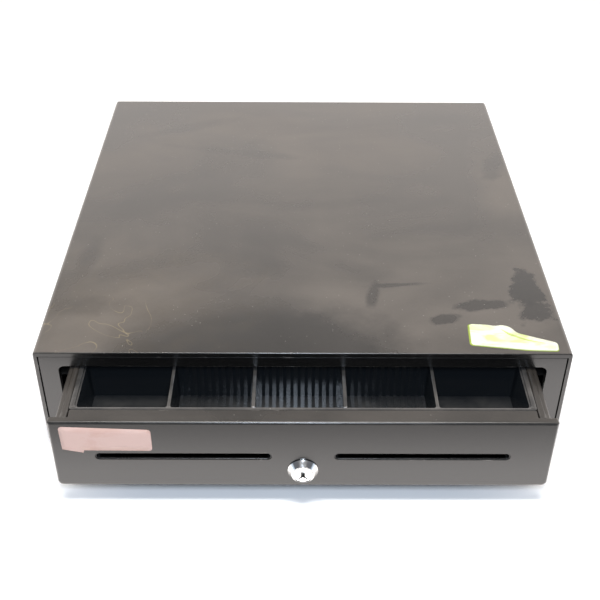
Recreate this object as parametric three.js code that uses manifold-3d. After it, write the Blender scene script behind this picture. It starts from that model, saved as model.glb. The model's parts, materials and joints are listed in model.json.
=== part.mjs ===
// Cash drawer: a folded steel casing on rubber feet, with a drawer on telescopic slides, a plastic
// till insert, a cam lock, a solenoid latch and a sprung ejector behind the drawer.
// Millimetres, +Z up, front towards -Y. The drawer is drawn closed and then pulled out by REST_PULL.
// The group's origin is the centre of the assembly's footprint, on the surface that the feet stand on.

import * as THREE from 'three';
import { mergeVertices } from 'three/addons/utils/BufferGeometryUtils.js';
import Module from 'manifold-3d';

const wasm = await Module();
wasm.setup();

// ---------------------------------------------------------------- driving dimensions

const WIDTH = 410; // casing, side to side
const DEPTH = 440; // casing, front to back
const HEIGHT = 100; // casing top above the surface it stands on
const FOOT_HEIGHT = 10;
const SHEET = 1.2; // steel sheet
const GAP = 0.3; // clearance between neighbouring pieces
const BEND = 3; // outside radius of the cover's folds

const FRONT_LIP = 3; // cover's folded strip around the front
const REAR_LIP = 12; // cover's folded strip around the back

const OPENING_HALF = 187; // hole in the front frame that the drawer passes through
const OPENING_LOW = 16.5;
const OPENING_HIGH = 85.5;
const OPENING_RADIUS = 4.5;

const REST_PULL = 60; // how far the drawer stands open
const FACE_Y = 1.3; // drawer's face when closed
const FACE_HALF = 184.8;
const FACE_LOW = 18.4;
const FACE_HIGH = 83.5;
const FACE_EAR = 5.5; // depth of the face's side returns
const FACE_SHELF = 13.2; // depth of the face's top flange in front of the insert

const PAN_HALF = 172; // drawer box, outside of its walls
const PAN_FLANGE = 7.5; // width of the flange on top of each wall
const PAN_LOW = 22;
const PAN_BACK = 297.5;
const PAN_FRONT = FACE_Y + FACE_SHELF - 0.8;

const SLIDE_FRONT = 16; // closed slides, front and back ends
const SLIDE_BACK = 296;
const SLIDE_MID_Z = 48;

const LOCK_Z = 35.3;
const LOCK_PROUD = 5.2; // how far the lock stands in front of the face
const LOCK_BEZEL = 11.3; // radii
const LOCK_FACE = 8.6;
const LOCK_BARREL = 9.4;
const LOCK_PLUG = 7.5;
const LOCK_BACK = 24;

const SLOT_Z = 49.5; // media slots in the face
const SLOT_NEAR = 23;
const SLOT_FAR = 153.5;
const SLOT_TALL = 6.4;

const RIM_Z = 83; // till insert
const INSERT_HALF = 170.5;
const INSERT_FRONT = 15.3;
const INSERT_BACK = 294.5;
const INSERT_WALL = 4;
const BAY_FLOOR = 46;
const BAY_BASE = 44.7;
const BAY_WALL = 2.4; // walls between bays
const COIN_BACK = 73; // back of the coin bays
const END_WALL = 99; // centre of the two moulded walls beside the end bays
const DIVIDER_X = [-37.2, 31]; // the two lift-out coin dividers
const BAY_WALL_TOP = 81.5;
const NOTE_BAYS = 5;

const PIVOT_Y = 345; // latch lever's pivot pin
const PIVOT_Z = 28;
const LATCH_DROP = 12; // degrees that the lever has dropped at rest
const TAIL = 20; // pivot to the solenoid's link pin
const STRIKE_Y = 310; // bar that the lever hooks
const STRIKE_Z = 39;

const EJECTOR_X = -105;
const EJECTOR_Z = 45;
const EJECTOR_BRACKET_Y = 360;

const CLIP_PIVOT_Y = 268;
const CLIP_PIVOT_Z = 76;
const CLIP_REACH = 72;
const CLIP_ANGLE = 22.5; // degrees below level when a clip rests on the bay's floor

const SCREW_HEAD = 1.6; // height of the cover screws' heads
const SCREW_X = WIDTH / 2 - 6;
const SCREW_Z = 55;
const SCREW_HOLE = 2; // radii
const FOOT_HOLE = 5;
const FOOT_X = WIDTH / 2 - 35;
const FOOT_ROWS = [32, DEPTH - 38];

const REAR_FACE = DEPTH - SHEET - 0.4; // outer face of the rear panel
const VENT_COUNT = 5;
const VENT_X = 95; // left edge of the first vent
const VENT_PITCH = 14;
const VENT_WIDTH = 4;
const VENT_LOW = 34;
const VENT_HIGH = 66;
const SOCKET_X = -150; // control lead's socket
const SOCKET_Z = 42;
const SOCKET_HALF = 7;
const SOCKET_DEPTH = 16;

const FRONT_MOST = FACE_Y - LOCK_PROUD - REST_PULL;
const BACK_MOST = DEPTH + SCREW_HEAD;

// ---------------------------------------------------------------- materials

const finishes = {
  casing_paint: { color: 0x23221f, roughness: 0.42, metalness: 0.3 },
  drawer_paint: { color: 0x282725, roughness: 0.4, metalness: 0.3 },
  inner_steel: { color: 0x9a9c9e, roughness: 0.45, metalness: 0.9 },
  slide_steel: { color: 0xb4b6b8, roughness: 0.3, metalness: 1.0 },
  spring_steel: { color: 0x8e8f90, roughness: 0.35, metalness: 1.0 },
  lock_chrome: { color: 0xe6e6e4, roughness: 0.12, metalness: 1.0 },
  insert_plastic: { color: 0x101114, roughness: 0.3, metalness: 0.0 },
  trim_plastic: { color: 0x0c0c0d, roughness: 0.45, metalness: 0.0 },
  foot_rubber: { color: 0x161616, roughness: 0.85, metalness: 0.0 },
  coil_tape: { color: 0xb98a2e, roughness: 0.6, metalness: 0.0 },
  board_green: { color: 0x1f5a34, roughness: 0.5, metalness: 0.0 },
};

// ---------------------------------------------------------------- geometry helpers

function box(x0, x1, y0, y1, z0, z1) {
  const geometry = new THREE.BoxGeometry(x1 - x0, y1 - y0, z1 - z0);
  return geometry.translate((x0 + x1) / 2, (y0 + y1) / 2, (z0 + z1) / 2);
}

// Extrudes a shape along an axis: drawn in (x, z) for Y, in (y, z) for X and in (x, y) for Z.
function extrude(shape, axis, from, to, curveSegments = 5) {
  const geometry = new THREE.ExtrudeGeometry(shape, { depth: to - from, bevelEnabled: false, curveSegments });
  const place = new THREE.Matrix4();
  const x = new THREE.Vector3(1, 0, 0);
  const y = new THREE.Vector3(0, 1, 0);
  const z = new THREE.Vector3(0, 0, 1);
  if (axis === 'Y') place.makeBasis(x, z, y.clone().negate()).setPosition(0, to, 0);
  if (axis === 'X') place.makeBasis(y, z, x).setPosition(from, 0, 0);
  if (axis === 'Z') place.makeBasis(x, y, z).setPosition(0, 0, from);
  return geometry.applyMatrix4(place);
}

function outline(points) {
  return new THREE.Shape(points.map(([a, b]) => new THREE.Vector2(a, b)));
}

// Rectangle with a radius for each corner, in the order low left, low right, high right, high left.
function roundedRect(a0, a1, b0, b1, radii) {
  const [r0, r1, r2, r3] = Array.isArray(radii) ? radii : [radii, radii, radii, radii];
  const shape = new THREE.Shape();
  shape.moveTo(a0 + r0, b0);
  shape.lineTo(a1 - r1, b0);
  if (r1) shape.absarc(a1 - r1, b0 + r1, r1, -Math.PI / 2, 0);
  shape.lineTo(a1, b1 - r2);
  if (r2) shape.absarc(a1 - r2, b1 - r2, r2, 0, Math.PI / 2);
  shape.lineTo(a0 + r3, b1);
  if (r3) shape.absarc(a0 + r3, b1 - r3, r3, Math.PI / 2, Math.PI);
  shape.lineTo(a0, b0 + r0);
  if (r0) shape.absarc(a0 + r0, b0 + r0, r0, Math.PI, 1.5 * Math.PI);
  return shape;
}

function disc(a, b, radius) {
  const shape = new THREE.Shape();
  shape.absarc(a, b, radius, 0, 2 * Math.PI);
  return shape;
}

function rod(axis, a, b, radius, from, to, segments = 10) {
  return extrude(disc(a, b, radius), axis, from, to, segments);
}

// Revolves (radius, height) pairs about +Z. The profile starts and ends on the axis.
function turned(profile, segments) {
  const points = profile.map(([r, h]) => new THREE.Vector2(r, h));
  return new THREE.LatheGeometry(points, segments).rotateX(Math.PI / 2);
}

// Coil spring along +Y from the origin.
function coil(radius, wire, length, turns, stepsPerTurn = 10) {
  const points = [];
  for (let i = 0; i <= turns * stepsPerTurn; i += 1) {
    const angle = (2 * Math.PI * i) / stepsPerTurn;
    const along = wire + ((length - 2 * wire) * i) / (turns * stepsPerTurn);
    points.push(new THREE.Vector3(radius * Math.cos(angle), along, radius * Math.sin(angle)));
  }
  const path = new THREE.CatmullRomCurve3(points);
  const section = disc(0, 0, wire);
  return new THREE.ExtrudeGeometry(section, {
    steps: turns * stepsPerTurn, extrudePath: path, curveSegments: 3, bevelEnabled: false,
  });
}

function toSolid(geometry) {
  const bare = geometry.clone();
  bare.deleteAttribute('normal');
  bare.deleteAttribute('uv');
  const merged = mergeVertices(bare, 1e-4);
  const mesh = new wasm.Mesh({
    numProp: 3,
    vertProperties: new Float32Array(merged.attributes.position.array),
    triVerts: new Uint32Array(merged.index.array),
  });
  return new wasm.Manifold(mesh);
}

function toGeometry(solid) {
  const mesh = solid.getMesh();
  const geometry = new THREE.BufferGeometry();
  geometry.setAttribute('position', new THREE.BufferAttribute(mesh.vertProperties, 3));
  geometry.setIndex(new THREE.BufferAttribute(mesh.triVerts, 1));
  geometry.computeVertexNormals();
  return geometry;
}

function join(...pieces) {
  return toGeometry(pieces.map(toSolid).reduce((whole, piece) => whole.add(piece)));
}

function cut(piece, ...tools) {
  return toGeometry(tools.map(toSolid).reduce((whole, tool) => whole.subtract(tool), toSolid(piece)));
}

function mirrorX(geometry) {
  const flipped = toSolid(geometry).mirror([1, 0, 0]);
  return toGeometry(flipped);
}

// ---------------------------------------------------------------- assembly

const assembly = new THREE.Group();
assembly.name = 'cash_drawer';
assembly.position.y = -(FRONT_MOST + BACK_MOST) / 2;

const drawer = new THREE.Group();
drawer.position.y = -REST_PULL;
const slideStage = new THREE.Group();
slideStage.position.y = -REST_PULL / 2;
assembly.add(drawer, slideStage);

function part(parent, name, slot, geometry) {
  const mesh = new THREE.Mesh(geometry, new THREE.MeshStandardMaterial(finishes[slot]));
  mesh.name = name;
  parent.add(mesh);
  return mesh;
}

function partPair(parent, name, slot, rightGeometry) {
  part(parent, `${name}_right`, slot, rightGeometry);
  part(parent, `${name}_left`, slot, mirrorX(rightGeometry));
}

const CASE_HALF = WIDTH / 2;
const INSIDE = CASE_HALF - SHEET;
const FLOOR_TOP = FOOT_HEIGHT + SHEET; // upper face of the casing's floor
const STAND = FLOOR_TOP + GAP; // underside of whatever stands on that floor

// ---------------------------------------------------------------- casing

function screwHoles(from, to) {
  return [-1, 1].map((side) => rod('Y', side * SCREW_X, SCREW_Z, SCREW_HOLE, from, to, 6));
}

function cover() {
  const section = roundedRect(-CASE_HALF, CASE_HALF, FOOT_HEIGHT, HEIGHT, [0, 0, BEND, BEND]);
  const bend = BEND - SHEET;
  const inner = roundedRect(-INSIDE, INSIDE, FOOT_HEIGHT - 1, HEIGHT - SHEET, [0, 0, bend, bend]);
  const frontHalf = CASE_HALF - FRONT_LIP;
  const rearHalf = CASE_HALF - REAR_LIP;
  return cut(
    extrude(section, 'Y', 0, DEPTH),
    extrude(inner, 'Y', SHEET, DEPTH - SHEET),
    box(-frontHalf, frontHalf, -1, 3, FOOT_HEIGHT - 1, HEIGHT - FRONT_LIP),
    box(-rearHalf, rearHalf, DEPTH - 3, DEPTH + 1, FOOT_HEIGHT - 1, HEIGHT - REAR_LIP),
    ...screwHoles(DEPTH - 3, DEPTH + 1),
  );
}

const footPlaces = [-1, 1].flatMap((side) => FOOT_ROWS.map((y) => [side * FOOT_X, y]));

function basePan() {
  const half = INSIDE - GAP;
  const floorInset = 4;
  const wallFront = 16;
  const wallBack = DEPTH - 20;
  const wallTop = 34;
  return cut(
    join(
      box(-half, half, floorInset, DEPTH - floorInset, FOOT_HEIGHT, FLOOR_TOP),
      box(-half, -half + SHEET, wallFront, wallBack, FOOT_HEIGHT, wallTop),
      box(half - SHEET, half, wallFront, wallBack, FOOT_HEIGHT, wallTop),
    ),
    ...footPlaces.map(([x, y]) => rod('Z', x, y, FOOT_HOLE, FOOT_HEIGHT - 5, FOOT_HEIGHT + 5, 8)),
  );
}

function frontFrame() {
  const half = CASE_HALF - FRONT_LIP - 0.5;
  const top = HEIGHT - FRONT_LIP - 0.6;
  const face = 0.8;
  const back = face + SHEET;
  const footEnd = 15; // depth of the folds behind the plate
  const sideEnd = 14;
  return cut(
    join(
      box(-half, half, face, back, STAND, top),
      box(-half, half, back - 0.5, footEnd, STAND, STAND + SHEET),
      box(-half, -half + SHEET, back - 0.5, sideEnd, STAND, top - 4),
      box(half - SHEET, half, back - 0.5, sideEnd, STAND, top - 4),
    ),
    extrude(roundedRect(-OPENING_HALF, OPENING_HALF, OPENING_LOW, OPENING_HIGH, OPENING_RADIUS), 'Y', -1, 4),
  );
}

function rearPanel() {
  const half = INSIDE - GAP;
  const back = REAR_FACE;
  const foldFront = DEPTH - 18;
  const foldTop = 90;
  const hole = SOCKET_HALF + 0.4;
  const vents = [];
  for (let i = 0; i < VENT_COUNT; i += 1) {
    const x = VENT_X + i * VENT_PITCH;
    const slit = roundedRect(x, x + VENT_WIDTH, VENT_LOW, VENT_HIGH, VENT_WIDTH / 2 - 0.1);
    vents.push(extrude(slit, 'Y', back - 3, back + 1, 2));
  }
  return cut(
    join(
      box(-half, half, back - SHEET, back, STAND, HEIGHT - SHEET - GAP - 1.5),
      box(-half + 1, half - 1, foldFront, back - 0.5, STAND, STAND + SHEET),
      box(-half, -half + SHEET, foldFront, back - 0.5, STAND, foldTop),
      box(half - SHEET, half, foldFront, back - 0.5, STAND, foldTop),
    ),
    box(SOCKET_X - hole, SOCKET_X + hole, back - 3, back + 1, SOCKET_Z - hole, SOCKET_Z + hole),
    ...vents,
    ...screwHoles(back - 3, back + 1),
  );
}

function foot() {
  return turned([
    [0, 0], [11.5, 0], [14, 2.2], [13.2, FOOT_HEIGHT - GAP], [4.6, FOOT_HEIGHT - GAP],
    [4.6, FLOOR_TOP + GAP], [6.6, FLOOR_TOP + GAP], [4, FLOOR_TOP + 3.5], [0, FLOOR_TOP + 3.5],
  ], 20);
}

function coverScrew(side) {
  const shank = 1.6;
  const head = 3.6;
  return join(
    rod('Y', side * SCREW_X, SCREW_Z, shank, DEPTH - 9, DEPTH + 0.8, 6),
    rod('Y', side * SCREW_X, SCREW_Z, head, DEPTH + GAP, DEPTH + SCREW_HEAD, 8),
  );
}

part(assembly, 'cover', 'casing_paint', cover());
part(assembly, 'base_pan', 'casing_paint', basePan());
part(assembly, 'front_frame', 'casing_paint', frontFrame());
part(assembly, 'rear_panel', 'casing_paint', rearPanel());
['front_left', 'rear_left', 'front_right', 'rear_right'].forEach((place, i) => {
  const mesh = part(assembly, `foot_${place}`, 'foot_rubber', foot());
  mesh.position.set(footPlaces[i][0], footPlaces[i][1], 0);
});
part(assembly, 'cover_screw_left', 'inner_steel', coverScrew(-1));
part(assembly, 'cover_screw_right', 'inner_steel', coverScrew(1));

// ---------------------------------------------------------------- slides

const WEB = 1.3;
const RAIL_OUT = 184.7; // back of the fixed rail

function channel(backX, openX, zHalf, front, back) {
  const toOpen = Math.sign(openX - backX);
  const web = [backX, backX + toOpen * WEB].sort((a, b) => a - b);
  const span = [backX, openX].sort((a, b) => a - b);
  return join(
    box(web[0], web[1], front, back, SLIDE_MID_Z - zHalf, SLIDE_MID_Z + zHalf),
    box(span[0], span[1], front, back, SLIDE_MID_Z + zHalf - WEB, SLIDE_MID_Z + zHalf),
    box(span[0], span[1], front, back, SLIDE_MID_Z - zHalf, SLIDE_MID_Z - zHalf + WEB),
  );
}

function slideBracket() {
  const web = RAIL_OUT + GAP;
  const foot = 15;
  const ledge = 9;
  const top = SLIDE_MID_Z + 16;
  const front = SLIDE_FRONT + 2;
  const back = SLIDE_BACK + 10;
  return join(
    box(web, web + SHEET, front, back, STAND, top),
    box(web, web + foot, front, back, STAND, STAND + SHEET),
    box(web, web + ledge, front, back, top - SHEET, top),
  );
}

partPair(assembly, 'slide_bracket', 'inner_steel', slideBracket());
partPair(assembly, 'slide_outer', 'slide_steel', channel(RAIL_OUT, 175, 18, SLIDE_FRONT, SLIDE_BACK));
partPair(slideStage, 'slide_mid', 'slide_steel', channel(182.4, 175.1, 14.6, SLIDE_FRONT, SLIDE_BACK));
partPair(drawer, 'slide_inner', 'slide_steel', channel(PAN_HALF + 0.4, 180.3, 11.2, SLIDE_FRONT, SLIDE_BACK));

// ---------------------------------------------------------------- drawer box and face

function slotOutline(grow) {
  const half = SLOT_TALL / 2 + grow;
  return roundedRect(SLOT_NEAR - grow, SLOT_FAR + grow, SLOT_Z - half, SLOT_Z + half, half - 0.05);
}

function bothSides(geometry) {
  return [geometry, mirrorX(geometry)];
}

function drawerFace() {
  const half = FACE_HALF;
  const shelfHalf = PAN_HALF - SHEET - 0.6;
  const ear = FACE_Y + FACE_EAR;
  return cut(
    join(
      extrude(roundedRect(-half, half, FACE_LOW, FACE_HIGH, [4.5, 4.5, 1, 1]), 'Y', FACE_Y, FACE_Y + SHEET),
      box(-half + 1, half - 1, FACE_Y + 0.5, ear, FACE_HIGH - SHEET, FACE_HIGH),
      box(-shelfHalf, shelfHalf, FACE_Y + 0.5, FACE_Y + FACE_SHELF, FACE_HIGH - SHEET, FACE_HIGH),
      box(-half, -half + SHEET, FACE_Y + 0.5, ear, FACE_LOW + 5, FACE_HIGH - 1),
      box(half - SHEET, half, FACE_Y + 0.5, ear, FACE_LOW + 5, FACE_HIGH - 1),
      box(-half + 5, half - 5, FACE_Y + 0.5, FACE_Y + 11, FACE_LOW, FACE_LOW + SHEET),
    ),
    ...bothSides(extrude(slotOutline(0), 'Y', -1, 5)),
    rod('Y', 0, LOCK_Z, LOCK_BARREL + GAP, -1, 5, 12),
  );
}

function drawerPan() {
  const wallTop = FACE_HIGH - SHEET - 0.4;
  const lip = FACE_Y + FACE_EAR + 0.4;
  const edge = PAN_HALF + PAN_FLANGE;
  const side = join(
    box(PAN_HALF - SHEET, PAN_HALF, PAN_FRONT, PAN_BACK, PAN_LOW, FACE_HIGH),
    box(PAN_HALF - SHEET, edge, lip, PAN_BACK, FACE_HIGH - SHEET, FACE_HIGH),
    box(edge - SHEET, edge, lip, PAN_BACK, FACE_HIGH - 5.5, FACE_HIGH),
  );
  return cut(
    join(
      box(-PAN_HALF, PAN_HALF, PAN_FRONT, PAN_BACK, PAN_LOW, PAN_LOW + SHEET),
      box(-PAN_HALF, PAN_HALF, PAN_FRONT, PAN_FRONT + SHEET, PAN_LOW, wallTop),
      box(-PAN_HALF, PAN_HALF, PAN_BACK - SHEET, PAN_BACK, PAN_LOW, wallTop),
      ...bothSides(side),
    ),
    ...bothSides(box(SLOT_NEAR + 6, SLOT_FAR - 6, PAN_FRONT - 1, PAN_FRONT + 3, 25, 41)),
    rod('Y', 0, LOCK_Z, LOCK_BARREL + GAP, PAN_FRONT - 1, PAN_FRONT + 3, 12),
    box(-9, 9, 27, 31, PAN_LOW - 1, PAN_LOW + 3),
  );
}

function slotChute() {
  const throatEnd = FACE_Y + 6.5;
  const deflector = PAN_FRONT - GAP;
  const throat = cut(
    join(
      extrude(slotOutline(-GAP), 'Y', FACE_Y + 0.2, throatEnd),
      box(SLOT_NEAR, SLOT_FAR, FACE_Y + SHEET + GAP, throatEnd, SLOT_Z - 4.4, SLOT_Z + 4.4),
    ),
    extrude(slotOutline(-1), 'Y', -1, throatEnd + 1),
  );
  return join(
    throat,
    box(SLOT_NEAR, SLOT_FAR, throatEnd - 0.5, deflector, SLOT_Z + 3.2, SLOT_Z + 4.4),
    box(SLOT_NEAR, SLOT_FAR, deflector - SHEET, deflector, 43, SLOT_Z + 4.4),
  );
}

function insertRail() {
  const wall = PAN_HALF - SHEET - GAP;
  const seat = BAY_BASE - GAP;
  const front = PAN_FRONT + 6;
  const back = PAN_BACK - 6;
  const ledge = 8;
  return join(
    box(wall - SHEET, wall, front, back, PAN_LOW + SHEET + GAP, seat),
    box(wall - ledge, wall, front, back, seat - SHEET, seat),
  );
}

function latchStrike() {
  const plate = PAN_BACK + GAP;
  const half = 16;
  const barHalf = 9;
  const cheek = box(8.5, 9.7, plate + 0.5, STRIKE_Y + 4, STRIKE_Z - 5, STRIKE_Z + 5);
  return join(
    box(-half, half, plate, plate + SHEET, STRIKE_Z - 11, STRIKE_Z + 11),
    ...bothSides(cheek),
    rod('X', STRIKE_Y, STRIKE_Z, 2, -barHalf, barHalf, 6),
  );
}

part(drawer, 'drawer_front', 'drawer_paint', drawerFace());
part(drawer, 'drawer_pan', 'drawer_paint', drawerPan());
partPair(drawer, 'slot_chute', 'trim_plastic', slotChute());
partPair(drawer, 'insert_rail', 'inner_steel', insertRail());
part(drawer, 'latch_strike', 'inner_steel', latchStrike());

// ---------------------------------------------------------------- lock

const CAM_Y = LOCK_BACK + 1.2;
const CAM_THICK = 2;
const CAM_NECK = 2.5;
const CAM_PEG = 4.2; // peg's distance from the lock's axis
const BOLT_Y = CAM_Y + CAM_THICK + 0.8;

function lockHousing() {
  const face = FACE_Y - LOCK_PROUD;
  const seat = FACE_Y - GAP;
  const bezel = turned([
    [0, face], [LOCK_FACE, face], [LOCK_FACE + 0.6, face + 0.5], [LOCK_BEZEL - 0.7, seat - 1.6],
    [LOCK_BEZEL, seat - 0.9], [LOCK_BEZEL, seat], [0, seat],
  ], 28).rotateX(-Math.PI / 2);
  const barrel = cut(
    rod('Y', 0, 0, LOCK_BARREL, seat - 1, LOCK_BACK, 12),
    box(-12, 12, seat + 0.01, LOCK_BACK + 1, 8, 12),
    box(-12, 12, seat + 0.01, LOCK_BACK + 1, -12, -8),
  );
  return cut(
    join(bezel, barrel),
    rod('Y', 0, 0, LOCK_PLUG + GAP, face - 1, LOCK_BACK - 4, 12),
    rod('Y', 0, 0, CAM_NECK + GAP, face - 1, LOCK_BACK + 1, 8),
  ).translate(0, 0, LOCK_Z);
}

function lockNut() {
  const flats = 24;
  const corners = [];
  for (let i = 0; i < 6; i += 1) {
    const angle = (Math.PI / 3) * i;
    const radius = flats / 2 / Math.cos(Math.PI / 6);
    corners.push([radius * Math.cos(angle), LOCK_Z + radius * Math.sin(angle)]);
  }
  const near = FACE_Y + SHEET + GAP;
  return cut(
    extrude(outline(corners), 'Y', near, near + 4),
    rod('Y', 0, LOCK_Z, LOCK_BARREL + GAP, near - 1, near + 5, 12),
  );
}

function lockCylinder() {
  const face = FACE_Y - LOCK_PROUD + 0.2;
  const prong = (side) => box(-0.5, 0.5, face - 1, face + 6, -2.6, 0)
    .rotateY(side * 0.85)
    .translate(0, 0, -1.6);
  return cut(
    join(
      rod('Y', 0, 0, LOCK_PLUG, face, LOCK_BACK - 4.4, 12),
      rod('Y', 0, 0, CAM_NECK, LOCK_BACK - 5, CAM_Y + CAM_THICK, 8),
    ),
    box(-1.15, 1.15, face - 1, face + 9, -2, 3.4),
    prong(-1),
    prong(1),
  );
}

function lockCam() {
  return join(
    cut(
      rod('Y', 0, 0, 7, CAM_Y, CAM_Y + CAM_THICK, 8),
      rod('Y', 0, 0, CAM_NECK + GAP, CAM_Y - 1, CAM_Y + CAM_THICK + 1, 8),
    ),
    rod('Y', CAM_PEG, 0, 1.3, CAM_Y + 0.5, BOLT_Y + 2.2, 5),
  );
}

function lockBolt() {
  return cut(
    box(-8, 8, BOLT_Y, BOLT_Y + 2, 20.4, 40),
    box(-1.9, CAM_PEG + 1.9, BOLT_Y - 1, BOLT_Y + 3, LOCK_Z - 3, LOCK_Z + 3),
  );
}

function lockKeeper() {
  const back = BOLT_Y - 0.6;
  const half = 16;
  const top = 19.4;
  const footEnd = back + 16;
  return join(
    box(-half, half, back - SHEET, back, STAND, top),
    box(-half, half, back - SHEET, footEnd, STAND, STAND + SHEET),
  );
}

part(drawer, 'lock_housing', 'lock_chrome', lockHousing());
part(drawer, 'lock_nut', 'inner_steel', lockNut());
const lockTurn = new THREE.Group();
lockTurn.position.z = LOCK_Z;
drawer.add(lockTurn);
part(lockTurn, 'lock_cylinder', 'lock_chrome', lockCylinder());
part(lockTurn, 'lock_cam', 'inner_steel', lockCam());
part(drawer, 'lock_bolt', 'inner_steel', lockBolt());
part(assembly, 'lock_keeper', 'inner_steel', lockKeeper());

// ---------------------------------------------------------------- till insert

const BAYS_HALF = INSERT_HALF - INSERT_WALL; // inside of the insert's outer walls
const noteStep = (2 * BAYS_HALF) / NOTE_BAYS;
const noteCentre = (i) => -BAYS_HALF + noteStep * (i + 0.5);

function pocket(x0, x1, y0, y1) {
  return extrude(roundedRect(x0, x1, y0, y1, 2.5), 'Z', BAY_FLOOR, RIM_Z + 1, 2);
}

function tillInsert() {
  const half = INSERT_HALF;
  const front = INSERT_FRONT + INSERT_WALL;
  const noteFront = COIN_BACK + BAY_WALL;
  const noteBack = INSERT_BACK - INSERT_WALL;
  const wall = BAY_WALL / 2;
  const coinPockets = [
    pocket(-BAYS_HALF, -END_WALL - wall, front, COIN_BACK),
    pocket(-END_WALL + wall, END_WALL - wall, front, COIN_BACK),
    pocket(END_WALL + wall, BAYS_HALF, front, COIN_BACK),
  ];
  const notePockets = [];
  for (let i = 0; i < NOTE_BAYS; i += 1) {
    const left = noteCentre(i) - noteStep / 2 + (i > 0 ? wall : 0);
    const right = noteCentre(i) + noteStep / 2 - (i < NOTE_BAYS - 1 ? wall : 0);
    notePockets.push(pocket(left, right, noteFront, noteBack));
  }
  return cut(
    extrude(roundedRect(-half, half, INSERT_FRONT, INSERT_BACK, 2), 'Z', BAY_BASE, RIM_Z, 3),
    ...coinPockets,
    ...notePockets,
    box(-BAYS_HALF, BAYS_HALF, front, noteBack, BAY_WALL_TOP, RIM_Z + 1),
    rod('X', CLIP_PIVOT_Y, CLIP_PIVOT_Z, 2.3, -half + 1.2, half - 1.2, 6),
  );
}

function coinDivider(x) {
  const front = INSERT_FRONT + INSERT_WALL + GAP;
  return box(x - BAY_WALL / 2, x + BAY_WALL / 2, front, COIN_BACK - GAP, BAY_FLOOR + GAP, BAY_WALL_TOP);
}

function noteClip() {
  const width = 17;
  const hubRadius = 5;
  const armWidth = 11;
  const hub = extrude(disc(0, 0, hubRadius), 'X', -width, width, 6);
  const arm = extrude(
    outline([
      [0, -3.4], [0, 3.4], [-CLIP_REACH + 8, 0.8], [-CLIP_REACH, 0.8], [-CLIP_REACH - 2, 4.8],
      [-CLIP_REACH - 4, 4.2], [-CLIP_REACH - 1, -1.4], [-CLIP_REACH + 8, -1.6],
    ]),
    'X', -armWidth, armWidth,
  );
  const bore = extrude(disc(0, 0, 2.3), 'X', -width - 1, width + 1, 6);
  return cut(join(hub, arm), bore);
}

part(drawer, 'till_insert', 'insert_plastic', tillInsert());
part(drawer, 'coin_divider_left', 'insert_plastic', coinDivider(DIVIDER_X[0]));
part(drawer, 'coin_divider_right', 'insert_plastic', coinDivider(DIVIDER_X[1]));
const rodHalf = INSERT_HALF - 1.6;
part(drawer, 'clip_rod', 'spring_steel', rod('X', CLIP_PIVOT_Y, CLIP_PIVOT_Z, 1.9, -rodHalf, rodHalf, 5));
for (let i = 0; i < NOTE_BAYS; i += 1) {
  const clip = part(drawer, `note_clip_${i + 1}`, 'spring_steel', noteClip());
  clip.position.set(noteCentre(i), CLIP_PIVOT_Y, CLIP_PIVOT_Z);
  clip.rotation.x = THREE.MathUtils.degToRad(CLIP_ANGLE);
}

// ---------------------------------------------------------------- latch and solenoid

function latchBracket() {
  const cheek = cut(
    box(4.5, 5.7, PIVOT_Y - 7, PIVOT_Y + 7, STAND, PIVOT_Z + 6),
    rod('X', PIVOT_Y, PIVOT_Z, 2.4, 3, 7, 6),
  );
  return join(box(-14, 14, PIVOT_Y - 13, PIVOT_Y + 13, STAND, STAND + SHEET), ...bothSides(cheek));
}

function latchPin() {
  return join(
    rod('X', PIVOT_Y, PIVOT_Z, 2, -16.5, 7, 6),
    rod('X', PIVOT_Y, PIVOT_Z, 3.4, 6.2, 7.4, 6),
  );
}

// Drawn hooked up, about the pivot; the nose stands in front of the strike's bar.
function latchHook() {
  const nose = STRIKE_Y - 3 - PIVOT_Y;
  const lever = outline([
    [-6, -5], [6, -5], [TAIL + 4, -4], [TAIL + 4, 4], [6, 5], [-6, 6],
    [nose + 0.5, 6], [nose, 16], [nose - 4, 12], [nose - 4, -2],
  ]);
  return cut(
    extrude(lever, 'X', -2, 2),
    rod('X', 0, 0, 2.3, -3, 3, 6),
    rod('X', TAIL, 0, 2.5, -3, 3, 6),
  );
}

const SOLENOID_Y = PIVOT_Y + TAIL - 0.2;
const LINK_Z = PIVOT_Z + TAIL * Math.sin(THREE.MathUtils.degToRad(LATCH_DROP));

function solenoidPlunger() {
  const fork = box(2.4, 4.2, SOLENOID_Y - 3, SOLENOID_Y + 3, LINK_Z - 3, LINK_Z + 9);
  return join(
    rod('Z', 0, SOLENOID_Y, 4.5, LINK_Z + 7, 78, 8),
    ...bothSides(fork),
    rod('X', SOLENOID_Y, LINK_Z, 1.5, -3, 3, 5),
  );
}

const COIL_LOW = 45.4;
const COIL_HIGH = 84.6;

function solenoidFrame() {
  const half = 14;
  const sheet = 2;
  const front = SOLENOID_Y - 15;
  const back = SOLENOID_Y + 15;
  const upper = COIL_HIGH + 0.4;
  const lower = COIL_LOW - 0.4;
  return cut(
    join(
      box(-half, half, back, back + sheet, STAND, upper + sheet),
      box(-half, half, front, back + 1, upper, upper + sheet),
      box(-half, half, front, back + 1, lower - sheet, lower),
      box(-half, half, back, back + 16, STAND, STAND + sheet),
    ),
    rod('Z', 0, SOLENOID_Y, 5.3, lower - 3, lower + 1, 8),
  );
}

function solenoidCoil() {
  const flange = 1.6;
  return cut(
    join(
      rod('Z', 0, SOLENOID_Y, 12, COIL_LOW, COIL_HIGH, 10),
      rod('Z', 0, SOLENOID_Y, 13.5, COIL_LOW, COIL_LOW + flange, 10),
      rod('Z', 0, SOLENOID_Y, 13.5, COIL_HIGH - flange, COIL_HIGH, 10),
    ),
    rod('Z', 0, SOLENOID_Y, 5, COIL_LOW - 1.4, 81, 8),
  );
}

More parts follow.
